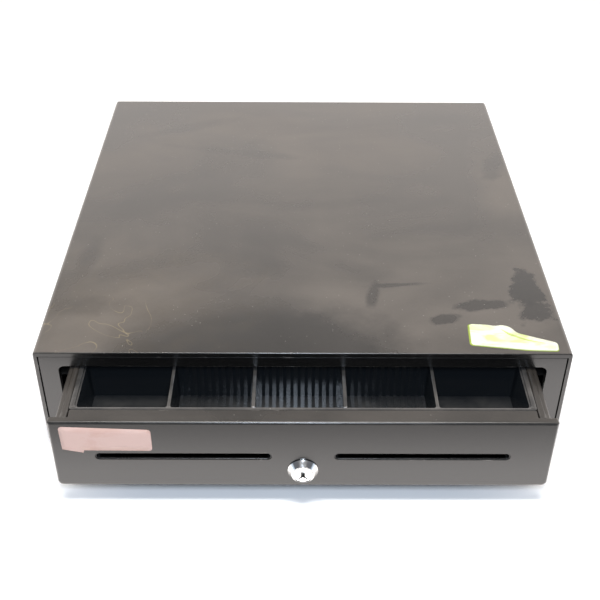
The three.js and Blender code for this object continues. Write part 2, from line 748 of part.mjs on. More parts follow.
part(assembly, 'latch_bracket', 'inner_steel', latchBracket());
part(assembly, 'latch_pin', 'spring_steel', latchPin());
const latchSpring = part(assembly, 'latch_spring', 'spring_steel', coil(3.4, 0.6, 8, 4));
latchSpring.position.set(-6.6, PIVOT_Y, PIVOT_Z);
latchSpring.rotation.z = Math.PI / 2;
part(assembly, 'solenoid_frame', 'inner_steel', solenoidFrame());
part(assembly, 'solenoid_coil', 'coil_tape', solenoidCoil());
const hook = part(assembly, 'latch_hook', 'spring_steel', latchHook());
hook.position.set(0, PIVOT_Y, PIVOT_Z);
hook.rotation.x = THREE.MathUtils.degToRad(LATCH_DROP);
part(assembly, 'solenoid_plunger', 'spring_steel', solenoidPlunger());

// ---------------------------------------------------------------- ejector, switch, stops, electronics

const EJECTOR_FRONT = PAN_BACK + 0.8;
const EJECTOR_STROKE = 45;

function ejectorBracket() {
  const y = EJECTOR_BRACKET_Y;
  return cut(
    join(
      box(EJECTOR_X - 15, EJECTOR_X + 15, y, y + 2, STAND, EJECTOR_Z + 14),
      box(EJECTOR_X - 15, EJECTOR_X + 15, y, y + 18, STAND, STAND + 2),
    ),
    rod('Y', EJECTOR_X, EJECTOR_Z, 3.4, y - 1, y + 3, 6),
  );
}

function ejectorPlunger() {
  const end = EJECTOR_BRACKET_Y + 2 + EJECTOR_STROKE + 1;
  return join(
    rod('Y', EJECTOR_X, EJECTOR_Z, 8.5, EJECTOR_FRONT, EJECTOR_FRONT + 5, 8),
    rod('Y', EJECTOR_X, EJECTOR_Z, 3, EJECTOR_FRONT + 4, end + 2, 6),
    rod('Y', EJECTOR_X, EJECTOR_Z, 5.2, end, end + 2, 6),
  );
}

const SWITCH_LEFT = 96; // door switch's body
const SWITCH_RIGHT = 116;
const SWITCH_BACK = 315.6;
const SWITCH_LOW = 24;
const SWITCH_HIGH = 31;

function switchBracket() {
  const face = SWITCH_BACK + 0.4;
  const left = SWITCH_LEFT - 2;
  const right = SWITCH_RIGHT + 2;
  return join(
    box(left, right, face, face + SHEET, STAND, SWITCH_HIGH + 3),
    box(left, right, face, face + 14, STAND, STAND + SHEET),
  );
}

function switchBody() {
  return box(SWITCH_LEFT, SWITCH_RIGHT, SWITCH_BACK - 10.6, SWITCH_BACK, SWITCH_LOW, SWITCH_HIGH);
}

function switchLever() {
  const pivotX = 14.5;
  return join(
    box(0, pivotX, -0.4, 0.4, -2, 2),
    rod('Z', 0, -1.2, 2.2, -2, 2, 5),
    rod('Z', pivotX, 0, 1, -2.4, 2.4, 4),
  ).translate(-pivotX, 0, 0);
}

function stopBuffer() {
  return box(135, 157, PAN_BACK + 0.7, PAN_BACK + 15, STAND, 36);
}

const BOARD_X = -95; // control board's left front corner
const BOARD_Y = 378;
const BOARD_WIDTH = 70;
const BOARD_DEPTH = 45;
const BOARD_LOW = 19;
const BOARD_TOP = 20.6;

// A block on the board, placed from the board's corner and sunk a little into it.
function component(x, y, width, depth, height) {
  const left = BOARD_X + x;
  const front = BOARD_Y + y;
  return box(left, left + width, front, front + depth, BOARD_TOP - 0.6, BOARD_TOP - 0.6 + height);
}

function controlBoard() {
  const inset = 4;
  const legs = [inset, BOARD_WIDTH - inset].flatMap((x) => [inset, BOARD_DEPTH - inset].map((y) => (
    rod('Z', BOARD_X + x, BOARD_Y + y, 2.5, STAND, BOARD_LOW + 0.5, 5)
  )));
  return join(
    box(BOARD_X, BOARD_X + BOARD_WIDTH, BOARD_Y, BOARD_Y + BOARD_DEPTH, BOARD_LOW, BOARD_TOP),
    ...legs,
    component(6, 6, 18, 15, 15),
    component(30, 24, 18, 8, 5),
    component(54, 4, 10, 10, 9),
  );
}

function dataSocket() {
  const half = SOCKET_HALF;
  const near = REAR_FACE - 12; // end of the mouth and of the notch for the plug's catch
  const out = REAR_FACE + 1;
  return cut(
    box(
      SOCKET_X - half, SOCKET_X + half, REAR_FACE - SOCKET_DEPTH, REAR_FACE - 0.2,
      SOCKET_Z - half, SOCKET_Z + half,
    ),
    box(SOCKET_X - 5, SOCKET_X + 5, near, out, SOCKET_Z - 4.5, SOCKET_Z + 3),
    box(SOCKET_X - 2, SOCKET_X + 2, near, out, SOCKET_Z - 5.6, SOCKET_Z),
  );
}

part(assembly, 'ejector_bracket', 'inner_steel', ejectorBracket());
part(assembly, 'ejector_plunger', 'spring_steel', ejectorPlunger());
const springFront = EJECTOR_FRONT + 5 + GAP;
const ejectorSpring = coil(6, 0.9, EJECTOR_BRACKET_Y - GAP - springFront, 6, 9);
const spring = part(assembly, 'ejector_spring', 'spring_steel', ejectorSpring);
spring.position.set(EJECTOR_X, springFront, EJECTOR_Z);
part(assembly, 'switch_bracket', 'inner_steel', switchBracket());
part(assembly, 'switch_body', 'trim_plastic', switchBody());
const lever = part(assembly, 'switch_lever', 'spring_steel', switchLever());
lever.position.set(SWITCH_RIGHT - 2, SWITCH_BACK - 13.2, (SWITCH_LOW + SWITCH_HIGH) / 2);
partPair(assembly, 'stop_buffer', 'foot_rubber', stopBuffer());
part(assembly, 'control_board', 'board_green', controlBoard());
part(assembly, 'data_socket', 'trim_plastic', dataSocket());

export default assembly;
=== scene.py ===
"""Looks of a steel cash drawer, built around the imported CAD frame.

Sizes are in millimetres and are turned into metres when a mesh is made; only the lights are placed in
metres. X runs across the drawer, -Y is its front and Z is up, as in the frame.
"""
import json
import math

import bmesh
import bpy
from mathutils import Matrix, Vector


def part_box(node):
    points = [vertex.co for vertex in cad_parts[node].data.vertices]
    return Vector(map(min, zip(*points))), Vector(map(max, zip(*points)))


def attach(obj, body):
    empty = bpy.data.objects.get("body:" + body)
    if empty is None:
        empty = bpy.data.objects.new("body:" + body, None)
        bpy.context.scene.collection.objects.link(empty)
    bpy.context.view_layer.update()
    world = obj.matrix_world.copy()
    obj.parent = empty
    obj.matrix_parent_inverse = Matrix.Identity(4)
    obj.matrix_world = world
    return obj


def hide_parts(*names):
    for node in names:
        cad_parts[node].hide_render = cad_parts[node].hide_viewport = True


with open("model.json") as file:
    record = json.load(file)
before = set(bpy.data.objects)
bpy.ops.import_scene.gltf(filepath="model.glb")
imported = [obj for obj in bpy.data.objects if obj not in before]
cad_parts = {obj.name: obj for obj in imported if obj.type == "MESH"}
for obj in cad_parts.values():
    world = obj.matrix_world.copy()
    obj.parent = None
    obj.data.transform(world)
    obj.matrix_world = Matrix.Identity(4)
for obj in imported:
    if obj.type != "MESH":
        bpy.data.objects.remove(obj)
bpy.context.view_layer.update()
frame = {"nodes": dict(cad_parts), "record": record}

MM = 0.001
SHEET = 1.2  # steel sheet
ARC = 5  # steps round a quarter turn


def box_mm(node):
    """Lowest and highest corner of a CAD node, in millimetres."""
    low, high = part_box(node)
    return low / MM, high / MM


# ---------------------------------------------------------------- camera, light and floor

COVER_LOW, COVER_HIGH = box_mm("cover")

# The lens stands in front of the cover's top front edge, above it and a little to the left; millimetres
# and degrees.
CAMERA_X = -6.7
CAMERA_BEFORE = 576.9
CAMERA_ABOVE = 476.6
CAMERA_PITCH = 36.49
CAMERA_YAW = 0.40
CAMERA_ROLL = -0.41
LENS = 59.33


def add_camera():
    pitch, yaw, roll = (math.radians(a) for a in (CAMERA_PITCH, CAMERA_YAW, CAMERA_ROLL))
    ahead = Vector((math.sin(yaw) * math.cos(pitch), math.cos(yaw) * math.cos(pitch), -math.sin(pitch)))
    level = Vector((math.cos(yaw), -math.sin(yaw), 0))
    down = ahead.cross(level)
    right = math.cos(roll) * level + math.sin(roll) * down
    up = math.sin(roll) * level - math.cos(roll) * down
    place = Vector((CAMERA_X, COVER_LOW.y - CAMERA_BEFORE, COVER_HIGH.z + CAMERA_ABOVE)) * MM
    lens = bpy.data.cameras.new("camera")
    lens.lens = LENS
    lens.sensor_width = 36
    lens.clip_end = 100
    camera = bpy.data.objects.new("camera", lens)
    turn = Matrix((right, up, -ahead)).transposed().to_4x4()
    camera.matrix_world = Matrix.Translation(place) @ turn
    bpy.context.scene.collection.objects.link(camera)
    bpy.context.scene.camera = camera


def add_area(name, place, aim, size, watts, colour):
    light = bpy.data.lights.new(name, "AREA")
    light.shape = "RECTANGLE"
    light.size, light.size_y = size
    light.energy = watts
    light.color = colour
    lamp = bpy.data.objects.new(name, light)
    lamp.location = place
    lamp.rotation_euler = (Vector(aim) - Vector(place)).to_track_quat("-Z", "Y").to_euler()
    bpy.context.scene.collection.objects.link(lamp)


def height_ramp(tree, height, stops):
    """Colour of the room against the sine of the elevation."""
    made = tree.nodes.new("ShaderNodeValToRGB")
    ramp = made.color_ramp
    for index, (position, colour) in enumerate(stops):
        element = ramp.elements[index] if index < 2 else ramp.elements.new(position)
        element.position = position
        element.color = (*colour, 1)
    tree.links.new(height, made.inputs["Fac"])
    return made.outputs["Color"]


# Stops of the room's two ramps, sine of the elevation and colour. The first two are the ramp's ends.
BEHIND = (
    (0.0, (0.86, 0.81, 0.77)),
    (1.0, (0.26, 0.25, 0.24)),
    (0.42, (1.0, 0.94, 0.90)),
    (0.55, (0.98, 0.92, 0.88)),
    (0.60, (0.60, 0.565, 0.54)),
    (0.65, (0.36, 0.34, 0.325)),
)
BEFORE = (
    (0.0, (0.34, 0.40, 0.48)),
    (1.0, (0.20, 0.20, 0.20)),
    (0.16, (0.27, 0.32, 0.38)),
    (0.30, (0.05, 0.055, 0.065)),
    (0.75, (0.06, 0.06, 0.065)),
)
ROOM_STRENGTH = 2.5
ROOM_TURNS = (-0.25, 0.35)  # Y of a direction, from the front half of the room to the back half

# Name, place, aim, size, watts and colour: a broad lamp overhead and a small bluish one above the lens.
LIGHTS = (
    ("key", (0, -0.42, 1.5), (0, -0.22, 0), (0.8, 0.32), 22, (1.0, 0.975, 0.94)),
    ("front_lamp", (-0.005, -0.775, 0.69), (0, -0.2, 0.05), (0.14, 0.20), 5.6, (0.74, 0.85, 1.0)),
)


def add_world():
    """Soft room light: bright low behind the drawer, dim overhead, bluish in front."""
    world = bpy.data.worlds.new("room")
    bpy.context.scene.world = world
    world.use_nodes = True
    tree = world.node_tree
    background = tree.nodes["Background"]
    direction = tree.nodes.new("ShaderNodeTexCoord").outputs["Generated"]
    parts = tree.nodes.new("ShaderNodeSeparateXYZ")
    tree.links.new(direction, parts.inputs[0])
    side = tree.nodes.new("ShaderNodeMapRange")
    side.inputs["From Min"].default_value, side.inputs["From Max"].default_value = ROOM_TURNS
    tree.links.new(parts.outputs["Y"], side.inputs["Value"])
    mixed = tree.nodes.new("ShaderNodeMix")
    mixed.data_type = "RGBA"
    tree.links.new(side.outputs["Result"], mixed.inputs[0])
    tree.links.new(height_ramp(tree, parts.outputs["Z"], BEFORE), mixed.inputs[6])
    tree.links.new(height_ramp(tree, parts.outputs["Z"], BEHIND), mixed.inputs[7])
    tree.links.new(mixed.outputs[2], background.inputs["Color"])
    background.inputs["Strength"].default_value = ROOM_STRENGTH


# ---------------------------------------------------------------- shader helpers


def material(name, **constants):
    """A Principled material; underscores in a name stand for the spaces in a socket's name."""
    made = bpy.data.materials.new(name)
    made.use_nodes = True
    shader = made.node_tree.nodes["Principled BSDF"]
    for socket, value in constants.items():
        shader.inputs[socket.replace("_", " ")].default_value = value
    return made


def node(tree, kind, inputs=None, **settings):
    made = tree.nodes.new(kind)
    for name, value in settings.items():
        setattr(made, name, value)
    for name, value in (inputs or {}).items():
        if isinstance(value, bpy.types.NodeSocket):
            tree.links.new(value, made.inputs[name])
        else:
            made.inputs[name].default_value = value
    return made


def place_of(tree, stretch=(1, 1, 1), turn=0.0):
    """The piece's own coordinates in metres, stretched and turned about Z."""
    source = node(tree, "ShaderNodeTexCoord").outputs["Object"]
    mapping = node(tree, "ShaderNodeMapping", {"Vector": source})
    mapping.inputs["Rotation"].default_value = (0, 0, turn)
    mapping.inputs["Scale"].default_value = stretch
    return mapping.outputs["Vector"]


def noise(tree, scale, detail=3.0, roughness=0.55, vector=None, distortion=0.0):
    vector = vector or place_of(tree)
    return node(tree, "ShaderNodeTexNoise", {
        "Vector": vector, "Scale": scale, "Detail": detail, "Roughness": roughness, "Distortion": distortion,
    }).outputs["Fac"]


def spread(tree, value, low, high, to_low=0.0, to_high=1.0):
    """Maps low..high onto to_low..to_high, held at the ends."""
    return node(tree, "ShaderNodeMapRange", {
        "Value": value, "From Min": low, "From Max": high, "To Min": to_low, "To Max": to_high,
    }).outputs["Result"]


def maths(tree, operation, a, b):
    made = node(tree, "ShaderNodeMath", {0: a, 1: b}, operation=operation)
    return made.outputs["Value"]


def product(tree, first, *others):
    for value in others:
        first = maths(tree, "MULTIPLY", first, value)
    return first


def blend_colour(tree, share, first, second):
    made = node(tree, "ShaderNodeMix", data_type="RGBA")
    for socket, value in ((made.inputs[0], share), (made.inputs[6], first), (made.inputs[7], second)):
        if isinstance(value, bpy.types.NodeSocket):
            tree.links.new(value, socket)
        else:
            socket.default_value = value if isinstance(value, float) else (*value, 1)
    return made.outputs[2]


def specks(tree, per_metre, radius, share):
    """Small round specks, one in some of the cells of a grid of that density."""
    cells = node(tree, "ShaderNodeTexVoronoi", {"Vector": place_of(tree), "Scale": per_metre})
    near = spread(tree, cells.outputs["Distance"], radius, radius * 0.6)
    pick = node(tree, "ShaderNodeSeparateColor", {"Color": cells.outputs["Color"]}).outputs[0]
    return product(tree, near, maths(tree, "GREATER_THAN", pick, 1 - share))


def edge_mask(tree, radius):
    """1 on convex and concave edges, 0 on flat ground."""
    rounded_off = node(tree, "ShaderNodeBevel", {"Radius": radius * MM}, samples=4).outputs["Normal"]
    flat = node(tree, "ShaderNodeNewGeometry").outputs["Normal"]
    dot = node(tree, "ShaderNodeVectorMath", {0: rounded_off, 1: flat}, operation="DOT_PRODUCT")
    return spread(tree, dot.outputs["Value"], 1.0, 0.97)


def upward(tree):
    """1 on surfaces that face up, where dust settles."""
    normal = node(tree, "ShaderNodeNewGeometry").outputs["True Normal"]
    parts = node(tree, "ShaderNodeSeparateXYZ", {0: normal})
    return spread(tree, parts.outputs["Z"], 0.3, 0.95)


def bump(tree, height, distance, below=None):
    made = node(tree, "ShaderNodeBump", {"Height": height, "Distance": distance * MM, "Strength": 1.0})
    if below:
        tree.links.new(below, made.inputs["Normal"])
    return made.outputs["Normal"]


def connect(made, **sockets):
    shader = made.node_tree.nodes["Principled BSDF"]
    for name, value in sockets.items():
        made.node_tree.links.new(value, shader.inputs[name.replace("_", " ")])


# ---------------------------------------------------------------- materials

POWDER_COAT = (0.0035, 0.0034, 0.0032)
DUST = (0.32, 0.27, 0.225)
LIT_GRAIN = (0.35, 0.33, 0.30)
FLECK = (0.75, 0.72, 0.66)
GRIME = (0.13, 0.09, 0.045)
DRIED_DRIP = (0.36, 0.28, 0.14)
RUBBED = (0.26, 0.24, 0.215)


def paint(name, dust, wear, base=POWDER_COAT, marked=False):
    """Fine-textured black powder coat with settled dust, wiped smears and rubbed edges."""
    made = material(name, Specular_IOR_Level=0.5, Metallic=0.0)
    tree = made.node_tree
    cloudy = noise(tree, 9, 4, 0.5, distortion=0.5)
    smears = noise(tree, 5, 3, 0.5, vector=place_of(tree, (1, 2.2, 1), 0.5), distortion=0.9)
    settled = product(
        tree, spread(tree, cloudy, 0.35, 0.66, 0.4, 1.0), spread(tree, smears, 0.34, 0.64, 0.45, 1.0)
    )
    if marked:
        settled = product(tree, settled, dust_left(tree))
    held = spread(tree, upward(tree), 0, 1, 0.05, 1.0)
    film = product(tree, settled, held)
    colour = blend_colour(tree, product(tree, film, dust), base, DUST)
    grain = noise(tree, 420, 2, 0.6)
    colour = blend_colour(tree, spread(tree, grain, 0.35, 0.75, 0.0, 0.012), colour, LIT_GRAIN)
    crowded = spread(tree, noise(tree, 11, 3, 0.6), 0.42, 0.60, 0.05, 0.42)
    colour = blend_colour(tree, product(tree, specks(tree, 300, 0.10, 0.28), held, crowded), colour, FLECK)
    if marked:
        colour = blend_colour(tree, grimy_corner(tree), colour, GRIME)
        colour = blend_colour(tree, dried_drips(tree), colour, DRIED_DRIP)
    chips = spread(tree, noise(tree, 45, 4, 0.7), 0.57, 0.66)
    colour = blend_colour(tree, product(tree, edge_mask(tree, 0.8), chips, wear), colour, RUBBED)
    rough = maths(tree, "ADD", spread(tree, cloudy, 0.3, 0.7, 0.20, 0.26), product(tree, film, 0.12))
    relief = bump(tree, noise(tree, 950, 2, 0.5), 0.008)
    relief = bump(tree, noise(tree, 260, 2, 0.5), 0.02, below=relief)
    connect(made, Base_Color=colour, Roughness=rough, Normal=relief)
    return made


def blot(tree, x, y, size, turn, ragged, soft):
    """1 inside a ragged oval on the casing's top, 0 outside.

    X and Y are measured from the top's left front corner. The size is two half lengths, the turn is in
    radians.
    """
    source = node(tree, "ShaderNodeTexCoord").outputs["Object"]
    here = node(tree, "ShaderNodeMapping", {"Vector": source}, vector_type="TEXTURE")
    here.inputs["Location"].default_value = ((COVER_LOW.x + x) * MM, (COVER_LOW.y + y) * MM, 0)
    here.inputs["Rotation"].default_value = (0, 0, turn)
    here.inputs["Scale"].default_value = (size[0] * MM, size[1] * MM, 1000)
    far = node(tree, "ShaderNodeVectorMath", {0: here.outputs["Vector"]}, operation="LENGTH")
    torn = product(tree, maths(tree, "SUBTRACT", noise(tree, 40, 4, 0.65), 0.5), ragged * 3)
    edge = maths(tree, "ADD", far.outputs["Value"], torn)
    return spread(tree, edge, 0.95 + soft, 0.95 - soft)


# Where dust came off the casing's top: a blot's x, y, size, turn, raggedness and softness, and how much
# of the dust is gone.
WIPES = (
    (172, -8, (116, 72), 0.0, 0.18, 0.22, 0.85),
    (389, 84, (12, 25), 0.1, 0.8, 0.15, 0.95),
    (391, 52, (18, 15), 0.2, 0.8, 0.15, 0.9),
    (352, 62, (24, 7), 0.1, 0.8, 0.2, 0.8),
    (317, 42, (12, 6), 0.2, 0.7, 0.2, 0.75),
    (262, 76, (5, 16), -0.2, 0.6, 0.3, 0.7),
    (282, 89, (24, 3), 0.1, 0.5, 0.3, 0.7),
    (395, 292, (9, 32), -0.3, 0.7, 0.3, 0.6),
    (22, 130, (8, 28), -0.1, 0.6, 0.4, 0.5),
    (30, 58, (30, 12), 0.0, 0.7, 0.4, 0.5),
    (90, 376, (46, 9), 0.4, 0.7, 0.4, 0.4),
    (150, 318, (60, 7), -0.2, 0.7, 0.4, 0.4),
)


def dust_left(tree):
    """Share of the dust that the wiped places have kept."""
    kept = [spread(tree, blot(tree, *wipe), 0, 1, 1.0, 1 - gone) for *wipe, gone in WIPES]
    return product(tree, *kept)


def grimy_corner(tree):
    """Brownish film on the left front corner of the top."""
    return product(tree, blot(tree, 50, 62, (80, 60), 0.2, 1.0, 0.7), upward(tree), 0.10)


def dried_drips(tree):
    """Thin yellowish lines on the left front corner of the top, where drips have dried."""
    level = noise(tree, 26, 2, 0.4, distortion=1.0)
    line = spread(tree, maths(tree, "ABSOLUTE", maths(tree, "SUBTRACT", level, 0.5), 0.0), 0.008, 0.002)
    zone = maths(
        tree, "MAXIMUM",
        blot(tree, 38, 30, (48, 34), 0.1, 1.0, 0.3), blot(tree, 84, 56, (26, 9), 0.6, 1.0, 0.4),
    )
    return product(tree, line, zone, upward(tree), 0.22)


INSERT_RIM = (79, 81)  # between these heights the dust on moulded parts grows thicker


def plastic(name, base, roughness, dust):
    """Moulded plastic: glossy ground with faint scuffs and settled dust."""
    made = material(name, Specular_IOR_Level=0.5)
    tree = made.node_tree
    cloud = noise(tree, 45, 5, 0.6, distortion=0.6)
    scuffs = noise(tree, 90, 4, 0.7, vector=place_of(tree, (1, 6, 1), 0.7))
    source = node(tree, "ShaderNodeTexCoord").outputs["Object"]
    height = node(tree, "ShaderNodeSeparateXYZ", {0: source}).outputs["Z"]
    up = upward(tree)
    film = product(tree, spread(tree, cloud, 0.35, 0.75, 0.3, 1.0), up)
    low, high = (z * MM for z in INSERT_RIM)
    share = product(tree, film, spread(tree, height, low, high, dust, 2.5 * dust))
    colour = blend_colour(tree, share, base, (0.28, 0.25, 0.22))
    flecks = product(tree, specks(tree, 210, 0.07, 0.10), up, 0.5)
    colour = blend_colour(tree, flecks, colour, (0.7, 0.68, 0.64))
    scuffed = spread(tree, scuffs, 0.3, 0.7, roughness, roughness + 0.07)
    rough = maths(tree, "ADD", scuffed, product(tree, film, 0.12))
    connect(made, Base_Color=colour, Roughness=rough, Normal=bump(tree, noise(tree, 1300, 2, 0.5), 0.002))
    return made


def metal(name, base, roughness, streak, stain=0.25):
    """Drawn or plated steel: fine streaks along one axis and dull patches."""
    made = material(name, Metallic=1.0)
    tree = made.node_tree
    drawn = noise(tree, 60, 3, 0.6, vector=place_of(tree, streak))
    patches = noise(tree, 35, 4, 0.6, distortion=0.5)
    dark = tuple(0.55 * c for c in base)
    colour = blend_colour(tree, spread(tree, patches, 0.35, 0.8, 0.0, stain), base, dark)
    streaked = spread(tree, drawn, 0.3, 0.7, roughness, roughness + 0.12)
    rough = maths(tree, "ADD", streaked, spread(tree, patches, 0.3, 0.8, 0.0, 0.08))
    connect(made, Base_Color=colour, Roughness=rough, Normal=bump(tree, drawn, 0.01))
    return made


def rubber():
    """Dull black rubber with a grey bloom."""
    made = material("rubber", Roughness=0.8, Specular_IOR_Level=0.35)
    tree = made.node_tree
    bloom = spread(tree, noise(tree, 120, 4, 0.6), 0.4, 0.8, 0, 0.35)
    colour = blend_colour(tree, bloom, (0.016, 0.016, 0.017), (0.10, 0.095, 0.09))
    connect(made, Base_Color=colour, Normal=bump(tree, noise(tree, 900, 2, 0.6), 0.02))
    return made


def paper(name, clean, stained, share):
    """Sticker paper with fibres, creases and stains."""
    made = material(name, Roughness=0.62, Specular_IOR_Level=0.35)
    tree = made.node_tree
    stains = noise(tree, 38, 4, 0.6, vector=place_of(tree, (1, 2.2, 2.2), 0.25), distortion=0.7)
    colour = blend_colour(tree, spread(tree, stains, 0.48, 0.62, 0.0, share), clean, stained)
    fibre = noise(tree, 1600, 2, 0.6)
    dark = tuple(0.6 * c for c in clean)
    colour = blend_colour(tree, spread(tree, fibre, 0.5, 0.8, 0.0, 0.10), colour, dark)
    relief = bump(tree, noise(tree, 140, 3, 0.5), 0.05, below=bump(tree, fibre, 0.01))
    connect(made, Base_Color=colour, Normal=relief)
    return made


def tape():
    """Amber tape wound round a coil."""
    made = material("coil_tape", Roughness=0.42)
    tree = made.node_tree
    wave = {"Vector": place_of(tree), "Scale": 90.0, "Distortion": 1.2, "Detail": 2.0}
    wraps = node(tree, "ShaderNodeTexWave", wave, bands_direction="Z").outputs["Fac"]
    colour = blend_colour(tree, wraps, (0.42, 0.24, 0.05), (0.62, 0.40, 0.10))
    connect(made, Base_Color=colour, Normal=bump(tree, wraps, 0.1))
    return made


def board():
    """Green circuit board with paler tracks."""
    made = material("board", Roughness=0.38, Coat_Weight=0.4)
    tree = made.node_tree
    tracks = node(tree, "ShaderNodeTexBrick", {"Vector": place_of(tree), "Scale": 90.0, "Mortar Size": 0.06})
    tracks.inputs["Color1"].default_value = (0.012, 0.10, 0.035, 1)
    tracks.inputs["Color2"].default_value = (0.016, 0.13, 0.045, 1)
    tracks.inputs["Mortar"].default_value = (0.05, 0.24, 0.09, 1)
    connect(made, Base_Color=tracks.outputs["Color"], Normal=bump(tree, tracks.outputs["Fac"], 0.03))
    return made


CASING = paint("casing_paint", dust=0.16, wear=0.6)
COVER = paint("cover_paint", dust=0.21, wear=0.6, marked=True)
DRAWER = paint("drawer_paint", dust=0.105, wear=0.6)
HIDDEN = paint("inner_paint", dust=0.03, wear=0.3, base=(0.006, 0.006, 0.006))
INSERT = plastic("insert_plastic", (0.0085, 0.0100, 0.0115), 0.07, 0.08)
TRIM = plastic("trim_plastic", (0.004, 0.0042, 0.005), 0.18, 0.10)
PLATED = metal("plated_steel", (0.27, 0.27, 0.265), 0.38, (1, 12, 12))
RAIL = metal("rail_steel", (0.26, 0.26, 0.255), 0.32, (14, 1, 14))
SPRING = metal("spring_steel", (0.20, 0.20, 0.20), 0.32, (1, 12, 12))
CHROME = metal("chrome", (0.86, 0.86, 0.85), 0.06, (8, 8, 1), stain=0.10)
RUBBER = rubber()
TAPE = tape()
BOARD = board()
PINK_PAPER = paper("pink_paper", (0.45, 0.31, 0.27), (0.41, 0.255, 0.21), 0.6)
TORN_PAPER = paper("torn_paper", (0.56, 0.57, 0.46), (0.44, 0.52, 0.17), 0.8)
GREEN_PAPER = paper("green_paper", (0.24, 0.31, 0.035), (0.16, 0.22, 0.03), 0.6)
# Darker green paper for the strip that paints the shade along the top sticker's tear and ridge.
TEAR_PAINTED_SHADE_PAPER = paper("tear_painted_shade_paper", (0.42, 0.47, 0.16), (0.30, 0.36, 0.08), 0.7)


# ---------------------------------------------------------------- mesh helpers


def finish_piece(name, bm, look, body, replaced=(), smooth=35.0):
    """Turns a bmesh in millimetres into a piece that rides on a body and stands for CAD nodes."""
    bmesh.ops.remove_doubles(bm, verts=bm.verts, dist=1e-4)
    mesh = bpy.data.meshes.new(name)
    bm.to_mesh(mesh)
    bm.free()
    mesh.transform(Matrix.Scale(MM, 4))
    mesh.materials.append(look)
    mesh.shade_smooth()
    mesh.set_sharp_from_angle(angle=math.radians(smooth))
    piece = bpy.data.objects.new(name, mesh)
    bpy.context.scene.collection.objects.link(piece)
    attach(piece, body)
    if replaced:
        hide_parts(*replaced)
    return piece


def solidify(piece, thickness):
    """Gives a surface its sheet's thickness, behind the faces."""
    made = piece.modifiers.new("thickness", "SOLIDIFY")
    made.thickness = thickness * MM
    made.offset = -1
    made.use_even_offset = True


def round_edges(piece, width, angle=45.0, steps=2):
    """Rounds every edge sharper than the angle, in degrees."""
    made = piece.modifiers.new("edges", "BEVEL")
    made.width = width * MM
    made.segments = steps
    made.limit_method = "ANGLE"
    made.angle_limit = math.radians(angle)
    made.harden_normals = False
    made.use_clamp_overlap = True
    weigh = piece.modifiers.new("shading", "WEIGHTED_NORMAL")
    weigh.keep_sharp = True
    weigh.weight = 80


def bridge(bm, loops, closed=True):
    """Faces between neighbouring loops of vertices."""
    for first, second in zip(loops, loops[1:]):
        count = len(first)
        for i in range(count if closed else count - 1):
            j = (i + 1) % count
            corners = [first[i], first[j], second[j], second[i]]
            distinct = [v for k, v in enumerate(corners) if (v.co - corners[k - 1].co).length > 1e-5]
            if len(distinct) > 2:
                bm.faces.new(distinct)


def ring_edges(bm, loop):
    return [bm.edges.get((a, b)) or bm.edges.new((a, b)) for a, b in zip(loop, loop[1:] + loop[:1])]


def fill(bm, loops):
    """Flat fill between an outer loop and any holes."""
    edges = [edge for loop in loops for edge in ring_edges(bm, loop)]
    bmesh.ops.triangle_fill(bm, use_beauty=True, use_dissolve=False, edges=edges)


def rounded(a0, a1, b0, b1, radius, steps=ARC):
    """Makes outlines of a rectangle with round corners; the result takes how much to grow it."""
    def outline(grow=0.0):
        corner = max(radius + grow, 0.0)
        points = []
        corners = ((a1, b0, -90, -1, 1), (a1, b1, 0, -1, -1), (a0, b1, 90, 1, -1), (a0, b0, 180, 1, 1))
        for a, b, start, in_a, in_b in corners:
            edge_a = a - in_a * grow
            edge_b = b - in_b * grow
            centre = (edge_a + in_a * corner, edge_b + in_b * corner)
            for i in range(steps + 1):
                angle = math.radians(start + 90 * i / steps)
                points.append((centre[0] + corner * math.cos(angle), centre[1] + corner * math.sin(angle)))
        return points
    return outline


def circle(a, b, radius, steps=32):
    def outline(grow=0.0):
        turn = 2 * math.pi / steps
        return [
            (a + (radius + grow) * math.cos(i * turn), b + (radius + grow) * math.sin(i * turn))
            for i in range(steps)
        ]
    return outline


# Where a point of an outline lies when the outline stands on a plane at some level.


def on_xz(a, b, level):
    return (a, level, b)


def on_xy(a, b, level):
    return (a, b, level)


def on_yz(a, b, level):
    return (level, a, b)


def loop_at(bm, points, level, place):
    return [bm.verts.new(place(a, b, level)) for a, b in points]


def plate(bm, outer, holes, low, high, edge, place, steps=2):
    """Closed sheet from one level to another, with every rim rounded off."""
    quarter = [math.radians(90 * i / steps) for i in range(steps + 1)]
    profile = [(edge * (1 - math.sin(q)), low + edge * (1 - math.cos(q))) for q in quarter]
    profile += [(edge * (1 - math.sin(q)), high - edge * (1 - math.cos(q))) for q in reversed(quarter)]
    first, last = [], []
    for outline, sign in [(outer, -1), *((hole, 1) for hole in holes)]:
        rings = [loop_at(bm, outline(sign * grow), level, place) for grow, level in profile]
        bridge(bm, rings)
        first.append(rings[0])
        last.append(rings[-1])
    fill(bm, first)
    fill(bm, last)


def orient(bm):
    """Outward normals on closed shells."""
    bmesh.ops.recalc_face_normals(bm, faces=bm.faces)


def face_towards(bm, probe, direction):
    """Flips an open surface if its face nearest the probe looks away from the direction."""
    bmesh.ops.recalc_face_normals(bm, faces=bm.faces)
    bm.faces.ensure_lookup_table()
    nearest = min(bm.faces, key=lambda face: (face.calc_center_median() - Vector(probe)).length)
    nearest.normal_update()
    if nearest.normal.dot(Vector(direction)) < 0:
        bmesh.ops.reverse_faces(bm, faces=bm.faces)


def lathe(bm, profile, centre, steps):
    """Revolves (radius, depth) pairs about a line along Y through the centre; closes at radius 0."""
    rings = []
    for radius, depth in profile:
        if radius == 0:
            rings.append([bm.verts.new((centre[0], depth, centre[1]))] * steps)
            continue
        rings.append([
            bm.verts.new((
                centre[0] + radius * math.cos(2 * math.pi * i / steps),
                depth,
                centre[1] + radius * math.sin(2 * math.pi * i / steps),
            ))
            for i in range(steps)
        ])
    bridge(bm, rings)


